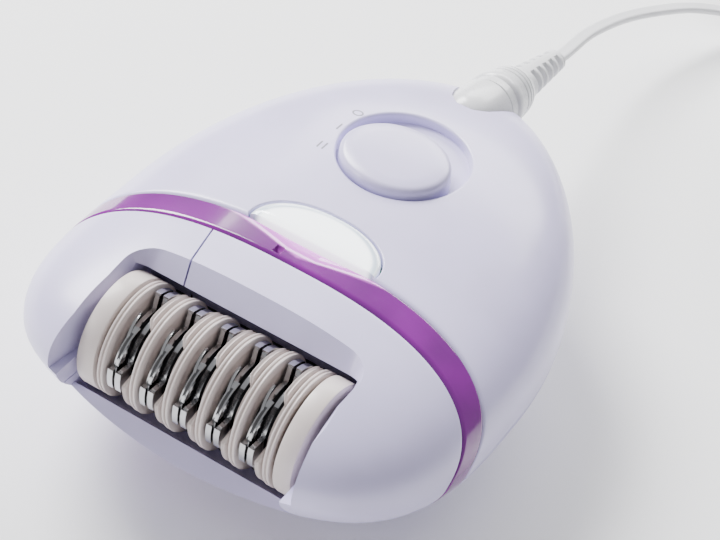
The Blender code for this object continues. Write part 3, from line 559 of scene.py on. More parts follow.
def repaint(material, *nodes):
    """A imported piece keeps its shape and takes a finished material."""
    for name in nodes:
        node = frame["nodes"][name]
        node.data.materials.clear()
        node.data.materials.append(material)


repaint(pin_metal, "mains_pin_left", "mains_pin_right")
[tuple(point * MM) for point in lead_path]

# ------------------------------------------------------------------ body form
# The handle, the band and the head share one egg-shaped form, flattened towards the switch face.
# These are the design sizes that its shells, the band and the lens are all laid on.
TAIL_LENGTH, HEAD_LENGTH, WIDEST_Y = 53.8, 37.6, 5.75
BODY_HALF_WIDTH = 35.5
SIDE_LINE_Z = -15.1
TOP_HEIGHT, BACK_HEIGHT = 15.2, 17.3
TOP_ROUNDNESS, BACK_ROUNDNESS = 2.63, 1.7
FINE_HALF_WIDTH = 16.0
REST_Z = SIDE_LINE_Z - BACK_HEIGHT + 1.0
BAND_SLOPE = 0.8
BAND_START, BAND_WIDTH = -1.3, 4.9
BAND_END = BAND_START + BAND_WIDTH
GAP = 0.3
PLANE_GAP = GAP * math.hypot(1, BAND_SLOPE)
PLANE_STRETCH = 1.28
WALL = 2.0
SHELL_ROUNDING = 0.35
FAR = 80.0
CLEAR_Z = 8.0


def form(pole, across_share, up_share, inset=0.0):
    """A point of the form: pole runs -1 at the head to 1 at the tail, the shares go round it."""
    tail = pole > 0
    reach = min(abs(pole), 1.0)
    length = (TAIL_LENGTH if tail else HEAD_LENGTH) - inset
    plan = (2.07, 1.54) if tail else (3.26, 3.31)
    side = (2.8, 1.3) if tail else (2.66, 1.82)
    half_width = (BODY_HALF_WIDTH - inset) * (1 - reach ** plan[0]) ** (1 / plan[1])
    swell = (1 - reach ** side[0]) ** (1 / side[1])
    middle = SIDE_LINE_Z + (6.3 if tail else 6.0) * reach ** 2
    height = (TOP_HEIGHT if up_share > 0 else BACK_HEIGHT) - inset
    power = 2 / (TOP_ROUNDNESS if up_share > 0 else BACK_ROUNDNESS)
    x = half_width * math.copysign(abs(across_share) ** power, across_share)
    z = middle + height * swell * math.copysign(abs(up_share) ** power, up_share)
    return Vector((x, WIDEST_Y + length * pole, z))


def surface_z(x, y):
    """The height of the form's switch side over a place in plan."""
    pole = (y - WIDEST_Y) / (TAIL_LENGTH if y > WIDEST_Y else HEAD_LENGTH)
    edge = form(pole, 1.0, 0.0)
    share = min(abs(x) / max(edge.x, 0.001), 1.0) ** (TOP_ROUNDNESS / 2)
    return form(pole, share, math.sqrt(max(1 - share * share, 0.0))).z


def round_turns(fine_mm=0.4, side_steps=46, back_steps=60):
    """Shares round the form: fine steps of x across the middle of the switch side, then the rest."""
    turns = []
    steps = int(FINE_HALF_WIDTH / fine_mm)
    rim = math.acos((FINE_HALF_WIDTH / BODY_HALF_WIDTH) ** (TOP_ROUNDNESS / 2))
    for step in range(side_steps):
        turns.append(rim * step / side_steps)
    for step in range(-steps, steps + 1):
        share = (abs(step) / steps * FINE_HALF_WIDTH / BODY_HALF_WIDTH) ** (TOP_ROUNDNESS / 2)
        turns.append(math.acos(share) if step < 0 else math.pi - math.acos(share))
    for step in range(1, side_steps + 1):
        turns.append(math.pi - rim * (1 - step / side_steps))
    for step in range(1, back_steps + 1):
        turns.append(math.pi + math.pi * step / back_steps)
    return [(math.cos(turn), math.sin(turn)) for turn in turns]


def plane_pole(shares, offset, inset):
    """Where along the form, at one place round it, the sloped plane y = offset + slope z is met."""
    low, high = -1.0, 1.0
    for _ in range(34):
        middle = (low + high) / 2
        point = form(middle, *shares, inset)
        if point.y < offset + BAND_SLOPE * point.z:
            low = middle
        else:
            high = middle
    return (low + high) / 2


def mouth_rows(turns, offset, towards, rounding, inner_inset):
    """Rows round a mouth at a sloped plane: the outer edge is rounded, then a flat wall edge."""
    rows = []
    for step in range(5, -1, -1):
        angle = math.radians(90 * step / 5)
        inset = rounding * (1 - math.cos(angle))
        back_off = rounding * (1 - math.sin(angle))
        row = []
        for shares in turns:
            pole = plane_pole(shares, offset + towards * back_off * PLANE_STRETCH, inset)
            row.append(form(pole, *shares, inset))
        rows.append(row)
    inner = [form(plane_pole(shares, offset, inner_inset), *shares, inner_inset) for shares in turns]
    return [inner] + rows


def dome_rows(turns, offset, towards, inset, steps):
    """Rows from a sloped plane to the form's pole, closer together towards the pole."""
    starts = [plane_pole(shares, offset, inset) for shares in turns]
    rows = []
    for step in range(1, steps + 1):
        share = 1 - (1 - step / steps) ** 1.5
        rows.append(
            [form(start + (towards - start) * share, *shares, inset) for start, shares in zip(starts, turns)]
        )
    return rows


def shell_rows(turns, offset, towards, steps=70, solid=False):
    """Rows of a shell from its mouth at a sloped plane to the form's pole, inside and out."""
    rows = mouth_rows(turns, offset, towards, SHELL_ROUNDING, WALL)
    rows += dome_rows(turns, offset + towards * SHELL_ROUNDING * PLANE_STRETCH, towards, 0.0, steps)
    if solid:
        middle = sum(rows[0], Vector()) / len(rows[0])
        return [[middle] * len(rows[0])] + rows[1:]
    return dome_rows(turns, offset, towards, WALL, 30)[::-1] + rows


def placed(rows):
    return [[at(*point) for point in row] for row in rows]


def cut(piece, tool, how="DIFFERENCE"):
    step = piece.modifiers.new(how.lower(), "BOOLEAN")
    step.operation = how
    step.object = tool
    step.solver = "MANIFOLD"
    choose(piece)
    bpy.ops.object.modifier_apply(modifier=step.name)
    bpy.data.objects.remove(tool, do_unlink=True)


def middle_of(loop):
    return sum(p[0] for p in loop) / len(loop), sum(p[1] for p in loop) / len(loop)


def circle(x, y, radius, steps):
    """An open ring of points in two coordinates."""
    turns = [math.tau * step / steps for step in range(steps)]
    return [(x + radius * math.cos(turn), y + radius * math.sin(turn)) for turn in turns]


def prism(name, loop, low, high, axis="Z"):
    """A closed outline carried between two heights along Z, or between two places along X."""
    order = (lambda p, h: at(p[0], p[1], h)) if axis == "Z" else (lambda p, h: at(h, p[0], p[1]))
    loop = list(loop)
    if loop[0] != loop[-1]:
        loop.append(loop[0])
    centre = middle_of(loop[:-1])
    ends = [[order(centre, place)] * len(loop) for place in (low, high)]
    sides = [[order(p, place) for p in loop] for place in (low, high)]
    return skin(name, [ends[0], *sides, ends[1]])


def rim_tool(name, loop_at, floor_z, rounding):
    """A cutter whose side flares out to round the edge it cuts in the form's switch side."""
    rows = [[at(x, y, floor_z) for x, y in loop_at(0.0)]]
    for step in range(6):
        angle = math.radians(90 * step / 5)
        sunk = rounding * (math.sin(angle) - 1)
        loop = loop_at(rounding * (1 - math.cos(angle)))
        rows.append([at(x, y, surface_z(x, y) + sunk) for x, y in loop])
    rows.append([at(x, y, CLEAR_Z) for x, y in loop_at(rounding)])
    centre = middle_of(loop_at(0.0))
    count = len(rows[0])
    return skin(name, [[at(*centre, floor_z)] * count, *rows, [at(*centre, CLEAR_Z)] * count])


def half_space(name, low_z, high_z):
    return prism(name, [(-FAR, -FAR), (FAR, -FAR), (FAR, FAR), (-FAR, FAR)], low_z, high_z)


def rest_cutter():
    return half_space("rest_cut", REST_Z - 20.0, REST_Z)


# ------------------------------------------------------------------ handle shells
# Two glossy lavender ABS mouldings, joined along the side and screwed from the back. The front one
# carries the switch recess and the window for the light.
LAVENDER = moulded("lavender_abs", (0.63, 0.58, 0.86), 0.32, 0.6, 0.002, Coat_Weight=0.35, Coat_Roughness=0.16)
RECESS_Y = 29.4
RECESS_HALF_WIDTH, RECESS_HALF_LENGTH = 10.2, 10.6
RECESS_FLOOR_Z = -2.4
CUP_WALL = 1.2
BUTTON_Y = 26.7
LENS_HALF_WIDTH, LENS_DEPTH = 10.8, 6.9
PARTING_Z = -15.0
RELEASE_Y = 16.0
SCREW_X, SCREW_Y = 13.0, 36.0
handle_turns = round_turns()
handle_offset = BAND_END + PLANE_GAP
LENS_START = handle_offset + 0.2


def recess_loop(grow):
    loop = []
    for step in range(97):
        turn = math.tau * (step % 96) / 96
        x = (RECESS_HALF_WIDTH + grow) * math.cos(turn)
        loop.append((x, RECESS_Y + (RECESS_HALF_LENGTH + grow) * math.sin(turn)))
    return loop


def lens_loop(grow, base):
    """The half-moon window: straight beside the band and bowed towards the switch."""
    loop = []
    for step in range(41):
        turn = math.pi * step / 40
        x = (LENS_HALF_WIDTH + grow) * math.copysign(abs(math.cos(turn)) ** 0.9, math.cos(turn))
        loop.append((x, LENS_START + (LENS_DEPTH + grow) * math.sin(turn) ** 0.9))
    for step in range(1, 20):
        share = 1 - 2 * step / 20
        loop.append((-(LENS_HALF_WIDTH + grow) * share, base - grow))
    return loop + loop[:1]


handle_mesh = placed(shell_rows(handle_turns, handle_offset, 1))
front = skin("front_case", handle_mesh)
cut(front, half_space("above_parting", PARTING_Z + GAP / 2, 30.0), "INTERSECT")
cup = prism("cup", recess_loop(CUP_WALL), RECESS_FLOOR_Z - CUP_WALL, -1.9)
cut(front, cup, "UNION")
cut(front, rim_tool("recess_cut", recess_loop, RECESS_FLOOR_Z, 0.55))
cut(front, rim_tool("lens_cut", lambda grow: lens_loop(grow + GAP * 0.5, BAND_END - 1.5), -6.0, 0.2))
slot_loop = [(-2.3, BUTTON_Y - 2.8), (2.3, BUTTON_Y - 2.8), (2.3, BUTTON_Y + 7.8), (-2.3, BUTTON_Y + 7.8)]
cut(front, prism("stem_slot", slot_loop, -8.0, 4.0))


def tail_tool():
    """The way in for the socket: 0.3 wider than its cup, and tapering with its nose."""
    stations = ((-12.3, 0.0), (-12.3, 4.05), (-10.1, 4.95), (-8.1, 5.25), (-5.1, 5.45), (12.0, 5.5), (12.0, 0.0))
    return skin("tail_cut", tail_turned(stations))


cut(front, tail_tool())
shade(front, 34)
fit(front, "handle", LAVENDER, "lavender_shell", "front_shell")

rear = skin("rear_case", handle_mesh)
cut(rear, half_space("below_parting", -70.0, PARTING_Z - GAP / 2), "INTERSECT")
cut(rear, rest_cutter())
cut(rear, tail_tool())
cut(rear, prism("release_hole", circle(0.0, RELEASE_Y, 5.3, 48), -60.0, REST_Z + 6.0))
for x in (-SCREW_X, SCREW_X):
    cut(rear, prism("screw_well", circle(x, SCREW_Y, 2.5, 32), -60.0, -20.0))
    cut(rear, prism("shank_hole", circle(x, SCREW_Y, 1.4, 24), -30.0, -5.0))
shade(rear, 34)
fit(rear, "handle", LAVENDER, "lavender_shell", "rear_shell")

# ------------------------------------------------------------------ violet trim band
# A clear-coated translucent violet ring between the handle and the head. Beside the lens its face
# falls away in a shallow valley with a small raised tab at its middle. The top of that falling face is
# painted brighter as painted light, and beside the lens it has a painted pink glow.
VALLEY_HALF_WIDTH = 13.3
TAB_HALF_WIDTH = 2.4
VALLEY_DEPTH = 0.75
BAND_ROUNDING = 0.3
BAND_WALL = 2.6
violet = Finish(
    "violet_band", (0.19, 0.001, 0.23), 0.16, 0.0, Coat_Weight=0.7, Coat_Roughness=0.06, Emission_Strength=1.0
)
band_x, band_y, band_z = (violet.axis(letter) for letter in "XYZ")
along_band = (band_y - band_z * BAND_SLOPE - BAND_START) / BAND_WIDTH
valley_line = (band_x.size() - TAB_HALF_WIDTH) * (0.55 / (VALLEY_HALF_WIDTH - TAB_HALF_WIDTH)) + 0.38
on_top = band_z.smooth(-4.0, -2.0)
# lit marks the valley's falling face on the top side, which is painted brighter: painted light.
lit = (along_band - valley_line).smooth(-0.06, 0.10) * on_top
near_lens = along_band.smooth(0.2, 1.0) * (1 - (band_x.size() * 0.075).smooth(0.0, 1.0)) * on_top
deep = (0.10, 0.0005, 0.13, 1.0)
unlit_colour = violet.mix(violet.noise(14.0, 2.0).smooth(0.3, 0.8), violet.colour, deep)
violet.feed(violet.shader.inputs["Base Color"], violet.mix(lit, unlit_colour, (0.62, 0.13, 0.66, 1.0)))
# The band is no lamp: this pink glow beside the lens is painted light.
painted_band_glow = violet.mix(lit * near_lens, (0.004, 0.0, 0.008, 1.0), (0.75, 0.18, 0.75, 1.0))
violet.feed(violet.shader.inputs["Emission Color"], painted_band_glow)
violet.grain(violet.noise(0.5, 3.0), 0.0015, 0.04)
band_turns = round_turns(0.2)


def valley(point, share):
    """How far the band's face sinks at a place across its width."""
    x = abs(point.x)
    if point.z < -6.0 or x > VALLEY_HALF_WIDTH:
        return 0.0
    line = 0.38 + 0.62 * max(x - TAB_HALF_WIDTH, 0.0) / (VALLEY_HALF_WIDTH - TAB_HALF_WIDTH)
    drop = VALLEY_DEPTH * eased((share - line) / (1.02 - 0.38) * 0.95 + 0.02) if share > line else 0.0
    if -3.6 < point.x < -TAB_HALF_WIDTH + 0.2 and share < 0.42:
        drop = max(drop, 0.9 * eased((point.x + 3.6) / 0.5) * eased((0.42 - share) / 0.08))
    return drop


band_rows = mouth_rows(band_turns, BAND_START, 1, BAND_ROUNDING, BAND_WALL)
BAND_STEPS = 34
first = [plane_pole(shares, BAND_START + BAND_ROUNDING * PLANE_STRETCH, 0.0) for shares in band_turns]
last = [plane_pole(shares, BAND_END - BAND_ROUNDING * PLANE_STRETCH, 0.0) for shares in band_turns]
for step in range(1, BAND_STEPS):
    share = step / BAND_STEPS
    row = []
    for a, b, shares in zip(first, last, band_turns):
        point = form(a + (b - a) * share, *shares)
        point.z -= valley(point, 0.08 + 0.84 * share)
        row.append(point)
    band_rows.append(row)
end_rows = mouth_rows(band_turns, BAND_END, -1, BAND_ROUNDING, BAND_WALL)[::-1]
for row in end_rows[:-1]:
    for point in row:
        point.z -= valley(point, 0.97)
band_rows += end_rows
band_rows.append([point.copy() for point in band_rows[0]])
band = skin("violet_ring", placed(band_rows), 24)
cut(band, rest_cutter())
shade(band, 24)
fit(band, "handle", violet.material, "violet_trim", "trim_band")

# ------------------------------------------------------------------ work light's lens
# A clear half-moon window moulded over the light. Its face glows white from inside, and its rim
# stays clear, with a painted blue-grey shade line where the moulding turns down.
lens_finish = Finish(
    "lit_lens", (0.90, 0.94, 0.98), 0.10, 0.0, Coat_Weight=1.0, Coat_Roughness=0.03, Emission_Strength=2.4
)
lens_x, lens_y = lens_finish.axis("X"), lens_finish.axis("Y")
reach_x = lens_x / LENS_HALF_WIDTH
reach_y = (lens_y - LENS_START) / LENS_DEPTH
from_middle = reach_x * reach_x + reach_y * reach_y
# line is a painted blue-grey shade ring near the rim, where the moulding turns down.
line = from_middle.smooth(0.74, 0.80) * (1 - from_middle.smooth(0.84, 0.92))
lit_face = 1 - from_middle.smooth(0.66, 0.90)
lens_finish.tint(line, (0.50, 0.60, 0.72))
lens_glow = lens_finish.mix(lit_face, (0.10, 0.12, 0.15, 1.0), (0.95, 0.98, 1.0, 1.0))
lens_finish.feed(lens_finish.shader.inputs["Emission Color"], lens_glow)
lens_finish.grain(lens_finish.noise(1.2, 2.0), 0.002, 0.03)


def lens_rows():
    centre = Vector((0.0, LENS_START + LENS_DEPTH * 0.42))
    loop = lens_loop(-0.15, handle_offset + 0.35)
    rows = []
    face = [(share, 0.0) for share in (0.0, 0.25, 0.5, 0.75, 0.9)]
    edge = [(0.955, 0.03), (0.985, 0.12), (1.0, 0.3), (1.0, 1.6), (0.0, 1.6)]
    for share, drop in face + edge:
        row = []
        for x, y in loop:
            px, py = centre.x + (x - centre.x) * share, centre.y + (y - centre.y) * share
            sink = 0.5 * eased(1 - (py - handle_offset) / 2.2) * (1 - eased((abs(px) - 7.0) / 5.0))
            row.append(Vector((px, py, surface_z(px, py) - drop - sink + 0.06)))
        rows.append(row)
    return rows


lens = skin("lens_window", placed(lens_rows()), 40)
fit(lens, "handle", lens_finish.material, "clear_lens", "light_lens")

# ------------------------------------------------------------------ slide switch
# A thick domed oval button on a stem, which slides in its shallow recess between off and two
# speeds, and the three marks beside it, printed in grey.
BUTTON_HALF_WIDTH, BUTTON_HALF_LENGTH = 9.0, 7.6
button_stations = (
    (0.0, 1.88), (5.0, 1.80), (6.6, 1.66), (7.0, 1.52), (7.28, 1.25), (7.42, 0.85),
    (7.46, 0.3), (7.5, -0.6), (7.6, -1.5), (7.6, -2.05), (0.0, -2.05),
)
button_rows = []
for radius, z in button_stations:
    row = []
    for step in range(97):
        turn = math.tau * (step % 96) / 96
        x = radius * BUTTON_HALF_WIDTH / BUTTON_HALF_LENGTH * math.cos(turn)
        row.append(at(x, BUTTON_Y + radius * math.sin(turn), z))
    button_rows.append(row)
fit(skin("slide_button", button_rows, 60), "switch", LAVENDER, "lavender_shell", "switch_button")
mark_finish = moulded("printed_mark", (0.24, 0.23, 0.30), 0.45, 0.3, 0.001)
INK = 0.02


def join(*pieces):
    choose(*pieces)
    if len(pieces) > 1:
        bpy.ops.object.join()
    return bpy.context.view_layer.objects.active


def mark(name, strokes):
    """A printed mark a few hundredths thick that follows the shell's surface."""
    pieces = []
    for index, (x, y, half_x, half_y, hollow) in enumerate(strokes):
        rows = []
        power = 1.0 if hollow else 0.3
        section = ((hollow, 0.0), (hollow, INK), (1.0, INK), (1.0, -INK), (hollow, -INK), (hollow, 0.0))
        for share, lift in section:
            row = []
            for step in range(41):
                turn = math.tau * (step % 40) / 40
                px = x + half_x * share * math.copysign(abs(math.cos(turn)) ** power, math.cos(turn))
                py = y + half_y * share * math.copysign(abs(math.sin(turn)) ** power, math.sin(turn))
                row.append(at(px, py, surface_z(px, py) + lift + 0.01))
            rows.append(row)
        pieces.append(skin(f"{name}_{index}", rows))
    joined = join(*pieces)
    joined.name = name
    fit(joined, "handle", mark_finish, "lead_grey")


mark("mark_off", [(-11.0, 33.8, 0.95, 0.75, 0.7)])
mark("mark_one", [(-11.3, 28.9, 0.14, 0.85, 0.0)])
mark("mark_two", [(-11.3, 23.4, 0.14, 0.85, 0.0), (-10.4, 23.4, 0.14, 0.85, 0.0)])

# ------------------------------------------------------------------ head covers
# The lift-off head: a main cover and a left one in lavender ABS, split by a slanting joint, and a
# rear cover whose lip comes up in front of the drum. The opening is a bathtub sunk between the lobes.
HEAD_LAVENDER = moulded(
    "lavender_head", (0.60, 0.555, 0.82), 0.36, 0.6, 0.002, Coat_Weight=0.3, Coat_Roughness=0.2
)
DRUM_Y, DRUM_Z = -17.7, -10.6
SCOOP_RADIUS = 9.7
SCOOP_HALF = 18.6
CHEEK = 1.3
HEAD_END = BAND_START - PLANE_GAP
SPLIT_TOP_X, SPLIT_FRONT_X = -13.25, -3.1
CREASE_Y, CREASE_Z = -8.6, 1.2
LIP_Y, LIP_Z = -11.5, -3.2
TUB_TOP_Z = 20.0
TUB_FRONT_Y = -40.0


def tub_loop(crease_y, half, corner, flare):
    """The opening's outline in plan, its back corners round and its sides flaring to the front."""
    loop = [(half + flare, TUB_FRONT_Y), (half, DRUM_Y)]
    for x, first_deg in ((half - corner, 0), (corner - half, 90)):
        for step in range(13):
            angle = math.radians(first_deg + 90 * step / 12)
            loop.append((x + corner * math.cos(angle), crease_y - corner + corner * math.sin(angle)))
    loop += [(-half, DRUM_Y), (-half - flare, TUB_FRONT_Y)]
    return loop + loop[:1]


def tub(name, grow):
    """What is taken out above the drum: a sloping back wall with round corners."""
    rows = []
    levels = (
        (TUB_TOP_Z, CREASE_Y, 1.9, 5.5, 4.2),
        (CREASE_Z, CREASE_Y, 1.9, 5.5, 4.2),
        (LIP_Z - grow, LIP_Y, 0.0, 2.2, 2.99),
        (DRUM_Z, LIP_Y, 0.0, 2.2, 2.99),
    )
    for z, y, wider, corner, flare in levels:
        loop = tub_loop(y + grow, SCOOP_HALF + wider + grow, corner, flare)
        rows.append([at(px, py, z) for px, py in loop])
    ends = [[at(0, -20, z)] * len(rows[0]) for z in (TUB_TOP_Z, DRUM_Z)]
    return skin(name, [ends[0], *rows, ends[1]])


def well(name, grow):
    """The round well that the drum turns in, open towards the front above the rear lip."""
    loop = []
    radius = SCOOP_RADIUS + grow
    for step in range(61):
        angle = math.radians(90 - 228 * step / 60)
        loop.append((DRUM_Y + radius * math.cos(angle), DRUM_Z + radius * math.sin(angle)))
    low_y, low_z = loop[-1]
    loop += [(low_y - 14.0, low_z - 9.0), (-FAR, low_z - 9.0), (-FAR, DRUM_Z + radius), loop[0]]
    half = SCOOP_HALF + grow
    centre = (-24.0, -11.0)
    rows = []
    for side in (-1, 1):
        row = []
        for y, z in loop:
            flare = 1.3 * max(DRUM_Y - y, 0) / SCOOP_RADIUS if y > -FAR else 0.0
            row.append(at((half + flare) * side, y, z))
        rows.append(row)
    return skin(name, [[at(-half, *centre)] * len(loop), *rows, [at(half, *centre)] * len(loop)])


head_turns = round_turns()
head_form = placed(shell_rows(head_turns, HEAD_END, -1, 76, solid=True))
cavity_turns = head_turns[::2] + head_turns[-1:]
cavity_form = placed([[form(-1 + 2 * step / 60, *shares, WALL) for shares in cavity_turns] for step in range(61)])
head = skin("head_form", head_form)
cavity = skin("head_cavity", cavity_form)
cut(cavity, tub("tub_wall", CHEEK))
cut(cavity, well("well_wall", CHEEK))
cut(head, cavity)
cut(head, tub("tub_cut", 0.0))
cut(head, well("well_cut", 0.0))
cut(head, rest_cutter())
cut(head, prism("bush_way", circle(DRUM_Y, DRUM_Z, 2.9, 40), -24.0, 24.0, "X"))


def copy_of(piece, name):
    twin = piece.copy()
    twin.data = piece.data.copy()
    twin.name = name
    bpy.context.scene.collection.objects.link(twin)
    return twin


def beside_split(side):
    """One side of the slanting joint between the two front covers."""
    shift = GAP / 2 * side
    top, low = SPLIT_TOP_X + shift, SPLIT_FRONT_X + shift
    outline = [(top, 0.0), (low, -50.0), (FAR * side, -50.0), (FAR * side, FAR), (top, FAR)]
    return prism("beside_split", outline, -60.0, 20.0)


rear_head = copy_of(head, "head_rear")
cut(rear_head, half_space("head_below", -60.0, PARTING_Z - GAP / 2), "INTERSECT")
cut(head, half_space("head_above", PARTING_Z + GAP / 2, 20.0), "INTERSECT")
left_head = copy_of(head, "head_left")
cut(left_head, beside_split(-1), "INTERSECT")
cut(head, beside_split(1), "INTERSECT")
head.name = "head_main"
for piece, node in ((head, "head_main_cover"), (left_head, "head_left_cover"), (rear_head, "head_rear_cover")):
    shade(piece, 34)
    fit(piece, "head", HEAD_LAVENDER, "lavender_shell", node)

# ------------------------------------------------------------------ drum discs
# Satin beige POM discs that guide the hairs and hold the tweezer plates: a thick one at each end
# and thin full ones between, each with a groove round its rim.
DISC_RADIUS = 8.9
DISC_PITCH = 5.56
CORE_BORE = 4.6
BEIGE = moulded("beige_pom", (0.60, 0.53, 0.51), 0.42, 0.4, 0.004, Coat_Weight=0.1)
disc_places = [(number - 2.5) * DISC_PITCH for number in range(6)]


def drum_point(x, radius, degrees):
    angle = math.radians(degrees)
    return at(x, DRUM_Y + radius * math.cos(angle), DRUM_Z + radius * math.sin(angle))


def turned_disc(name, profile, steps=120):
    """A closed profile of (radius, along X) turned about the drum's axis."""
    turns = [360 * (step % steps) / steps for step in range(steps + 1)]
    rows = [[drum_point(x, radius, turn) for turn in turns] for radius, x in [*profile, profile[0]]]
    return skin(name, rows, 40)


def rim_profile():
    """Half the thin disc's section, from its bore to the groove in its rim, then its mirror image."""
    web_radius, half, rim_half = 7.0, 0.36, 0.55
    section = [
        (CORE_BORE, -half), (web_radius, -half), (web_radius + 0.25, -rim_half), (DISC_RADIUS - 0.22, -rim_half),
        (DISC_RADIUS - 0.06, -rim_half * 0.86), (DISC_RADIUS, -rim_half * 0.6),
        (DISC_RADIUS - 0.06, -rim_half * 0.3), (DISC_RADIUS - 0.28, -rim_half * 0.12),
    ]
    return section + [(radius, -along) for radius, along in reversed(section)]


def moved_copy(piece, name, x):
    twin = copy_of(piece, name)
    for vertex in twin.data.vertices:
        vertex.co.x += x * MM
    return twin


comb = turned_disc("comb_pattern", rim_profile())
for number, x in enumerate(disc_places, start=1):
    fit(moved_copy(comb, f"comb_rim_{number}", x), "drum", BEIGE, "beige_moulding", f"comb_disc_{number}")
bpy.data.objects.remove(comb, do_unlink=True)
for side, name in ((-1, "left"), (1, "right")):
    inner, outer = sorted((15.0 * side, 18.0 * side))
    profile = [
        (1.8, inner), (DISC_RADIUS - 0.35, inner), (DISC_RADIUS - 0.08, inner + 0.1), (DISC_RADIUS, inner + 0.35),
        (DISC_RADIUS, outer - 0.35), (DISC_RADIUS - 0.08, outer - 0.1), (DISC_RADIUS - 0.35, outer), (1.8, outer),
    ]
    fit(turned_disc(f"end_rim_{name}", profile), "drum", BEIGE, "beige_moulding", f"end_disc_{name}")

# ------------------------------------------------------------------ claw discs
# Between two full discs, a beige sector above keeps the hairs upright and a longer one below lifts
# them; both have the same grooved rim and blunt ends, on a ring round the drum's core.
CLAW_X = 4.05
CLAW_RADIUS = 8.7
CLAW_HALF = 0.45
CLAW_SECTORS = ((38, 112), (176, 262))
RING_RADIUS = 5.7


def capped(name, rings, smooth_deg):
    """A skin through closed rings, with each end closed to its middle."""
    ends = [[sum(ring[:-1], Vector()) / (len(ring) - 1)] * len(ring) for ring in (rings[0], rings[-1])]
    return skin(name, [ends[0], *rings, ends[1]], smooth_deg)


def sector(name, start, end):
    """Part of a grooved disc with blunt, slightly rounded ends."""
    rows = []
    for step in range(31):
        share = step / 30
        edge = min(share, 1 - share) * (end - start)
        slim = CLAW_HALF * (0.55 + 0.45 * eased(edge / 5.0))
        top = CLAW_RADIUS - 1.3 * (1 - eased(edge / 6.0))
        loop = [
            (5.4, -CLAW_HALF), (top - 0.25, -slim), (top, -0.6 * slim), (top - 0.22, 0.0),
            (top, 0.6 * slim), (top - 0.25, slim), (5.4, CLAW_HALF), (5.4, -CLAW_HALF),
        ]
        rows.append([drum_point(along, radius, start + (end - start) * share) for radius, along in loop])
    return capped(name, rows, 40)


def core_ring(name, half, steps):
    """The flat ring by which a stamped or moulded piece sits on the drum's core."""
    profile = [(CORE_BORE, -half), (RING_RADIUS, -half), (RING_RADIUS, half), (CORE_BORE, half)]
    return turned_disc(name, profile, steps)


claw = join(
    core_ring("claw_hub", CLAW_HALF, 72), *(sector(f"claw_{start}", start, end) for start, end in CLAW_SECTORS)
)
for number, x in enumerate(disc_places[:-1], start=1):
    fit(moved_copy(claw, f"claw_{number}", x + CLAW_X), "drum", BEIGE, "beige_moulding", f"claw_disc_{number}")
bpy.data.objects.remove(claw, do_unlink=True)

# ------------------------------------------------------------------ tweezer plates
# Pairs of stamped stainless plates: one fixed, one that the rod moves. Each tip is folded flat, and
# a folded link, whose slot is a strip of painted shade, lies between the two. All are bright with fine stamping
# lines.
STEEL = metal("stamped_steel", (0.50, 0.50, 0.51), 0.17)
TIP_DEGREES = (62.0, 182.0, 302.0)
PLATE_HALF = 0.35
FIXED_X, MOVING_X = 1.45, 2.78
FOUR_CORNERS = ((-1, -1), (1, -1), (1, 1), (-1, 1), (-1, -1))


def bar(name, path, half_x, half_thick):
    """A flat strip along a path of (x, radius, degrees), its flat side facing out from the axis."""
    rows = []
    for x, radius, degrees in path:
        rows.append([drum_point(x + dx * half_x, radius + dr * half_thick, degrees) for dx, dr in FOUR_CORNERS])
    return capped(name, rows, 30)


def plate():
    parts = [core_ring("plate_pattern", PLATE_HALF, 60)]
    for middle in TIP_DEGREES:
        spoke_rows = []
        for radius, spread in ((5.4, 15.0), (6.6, 13.0), (8.0, 12.5), (8.25, 11.5)):
            corners = [(PLATE_HALF * dx, middle + spread * side) for dx, side in FOUR_CORNERS]
            spoke_rows.append([drum_point(x, radius, degrees) for x, degrees in corners])
        parts.append(capped("spoke", spoke_rows, 30))
        tip_path = [(0.0, radius, middle + off) for radius, off in ((8.3, -12), (8.36, -4), (8.36, 4), (8.3, 12))]
        parts.append(bar("tip", tip_path, 0.45, 0.14))
    return join(*parts)


pattern = plate()
for number, x in enumerate(disc_places[:-1], start=1):
    fixed = moved_copy(pattern, f"fixed_tweezer_{number}", x + FIXED_X)
    fit(fixed, "drum", STEEL, "tweezer_steel", f"fixed_plate_{number}")
    moving = moved_copy(pattern, f"moving_tweezer_{number}", x + MOVING_X)
    fit(moving, "tweezers", STEEL, "tweezer_steel", f"moving_plate_{number}")
bpy.data.objects.remove(pattern, do_unlink=True)

# ------------------------------------------------------------------ folded links and rollers
# Folded steel links cross from one plate to the next. Each wider one carries a thin black strip of painted shade
# where its slot would be, and half-round rollers with small black stops between them close each module below.
DARK_STEEL = metal("dark_steel", (0.20, 0.20, 0.205), 0.2, 0.4)
# Black for the stops, and also for the slot strips as painted shade.
stop_and_slot_shade_finish = moulded("black_stop_and_slot_shade", (0.02, 0.02, 0.024), 0.4, 0.3, 0.004)


def link_path(x0, x1, start, end, radius, bow=0.0, steps=8):
    """A path for a bar, from x0 to x1 and start to end degrees, bowed outwards half way."""
    path = []
    for step in range(steps + 1):
        share = step / steps
        out = radius + bow * math.sin(math.pi * share)
        path.append((x0 + (x1 - x0) * share, out, start + (end - start) * share))
    return path


wide = bar("wide_link", link_path(2.35, 1.62, 118, 168, 7.3, 0.25), 0.42, 0.12)
# A thin black strip laid on the wide link: painted shade standing for its slot, which is not cut.
painted_slot_shade = bar("slot", link_path(2.26, 1.72, 124, 162, 7.43, 0.26), 0.2, 0.06)
slim_a = bar("slim_a", link_path(1.2, 2.3, 100, 150, 7.0, 0.5), 0.2, 0.16)
slim_b = bar("slim_b", link_path(2.3, 1.2, 140, 196, 7.2, 0.3), 0.2, 0.16)
links = join(wide, slim_a, slim_b)


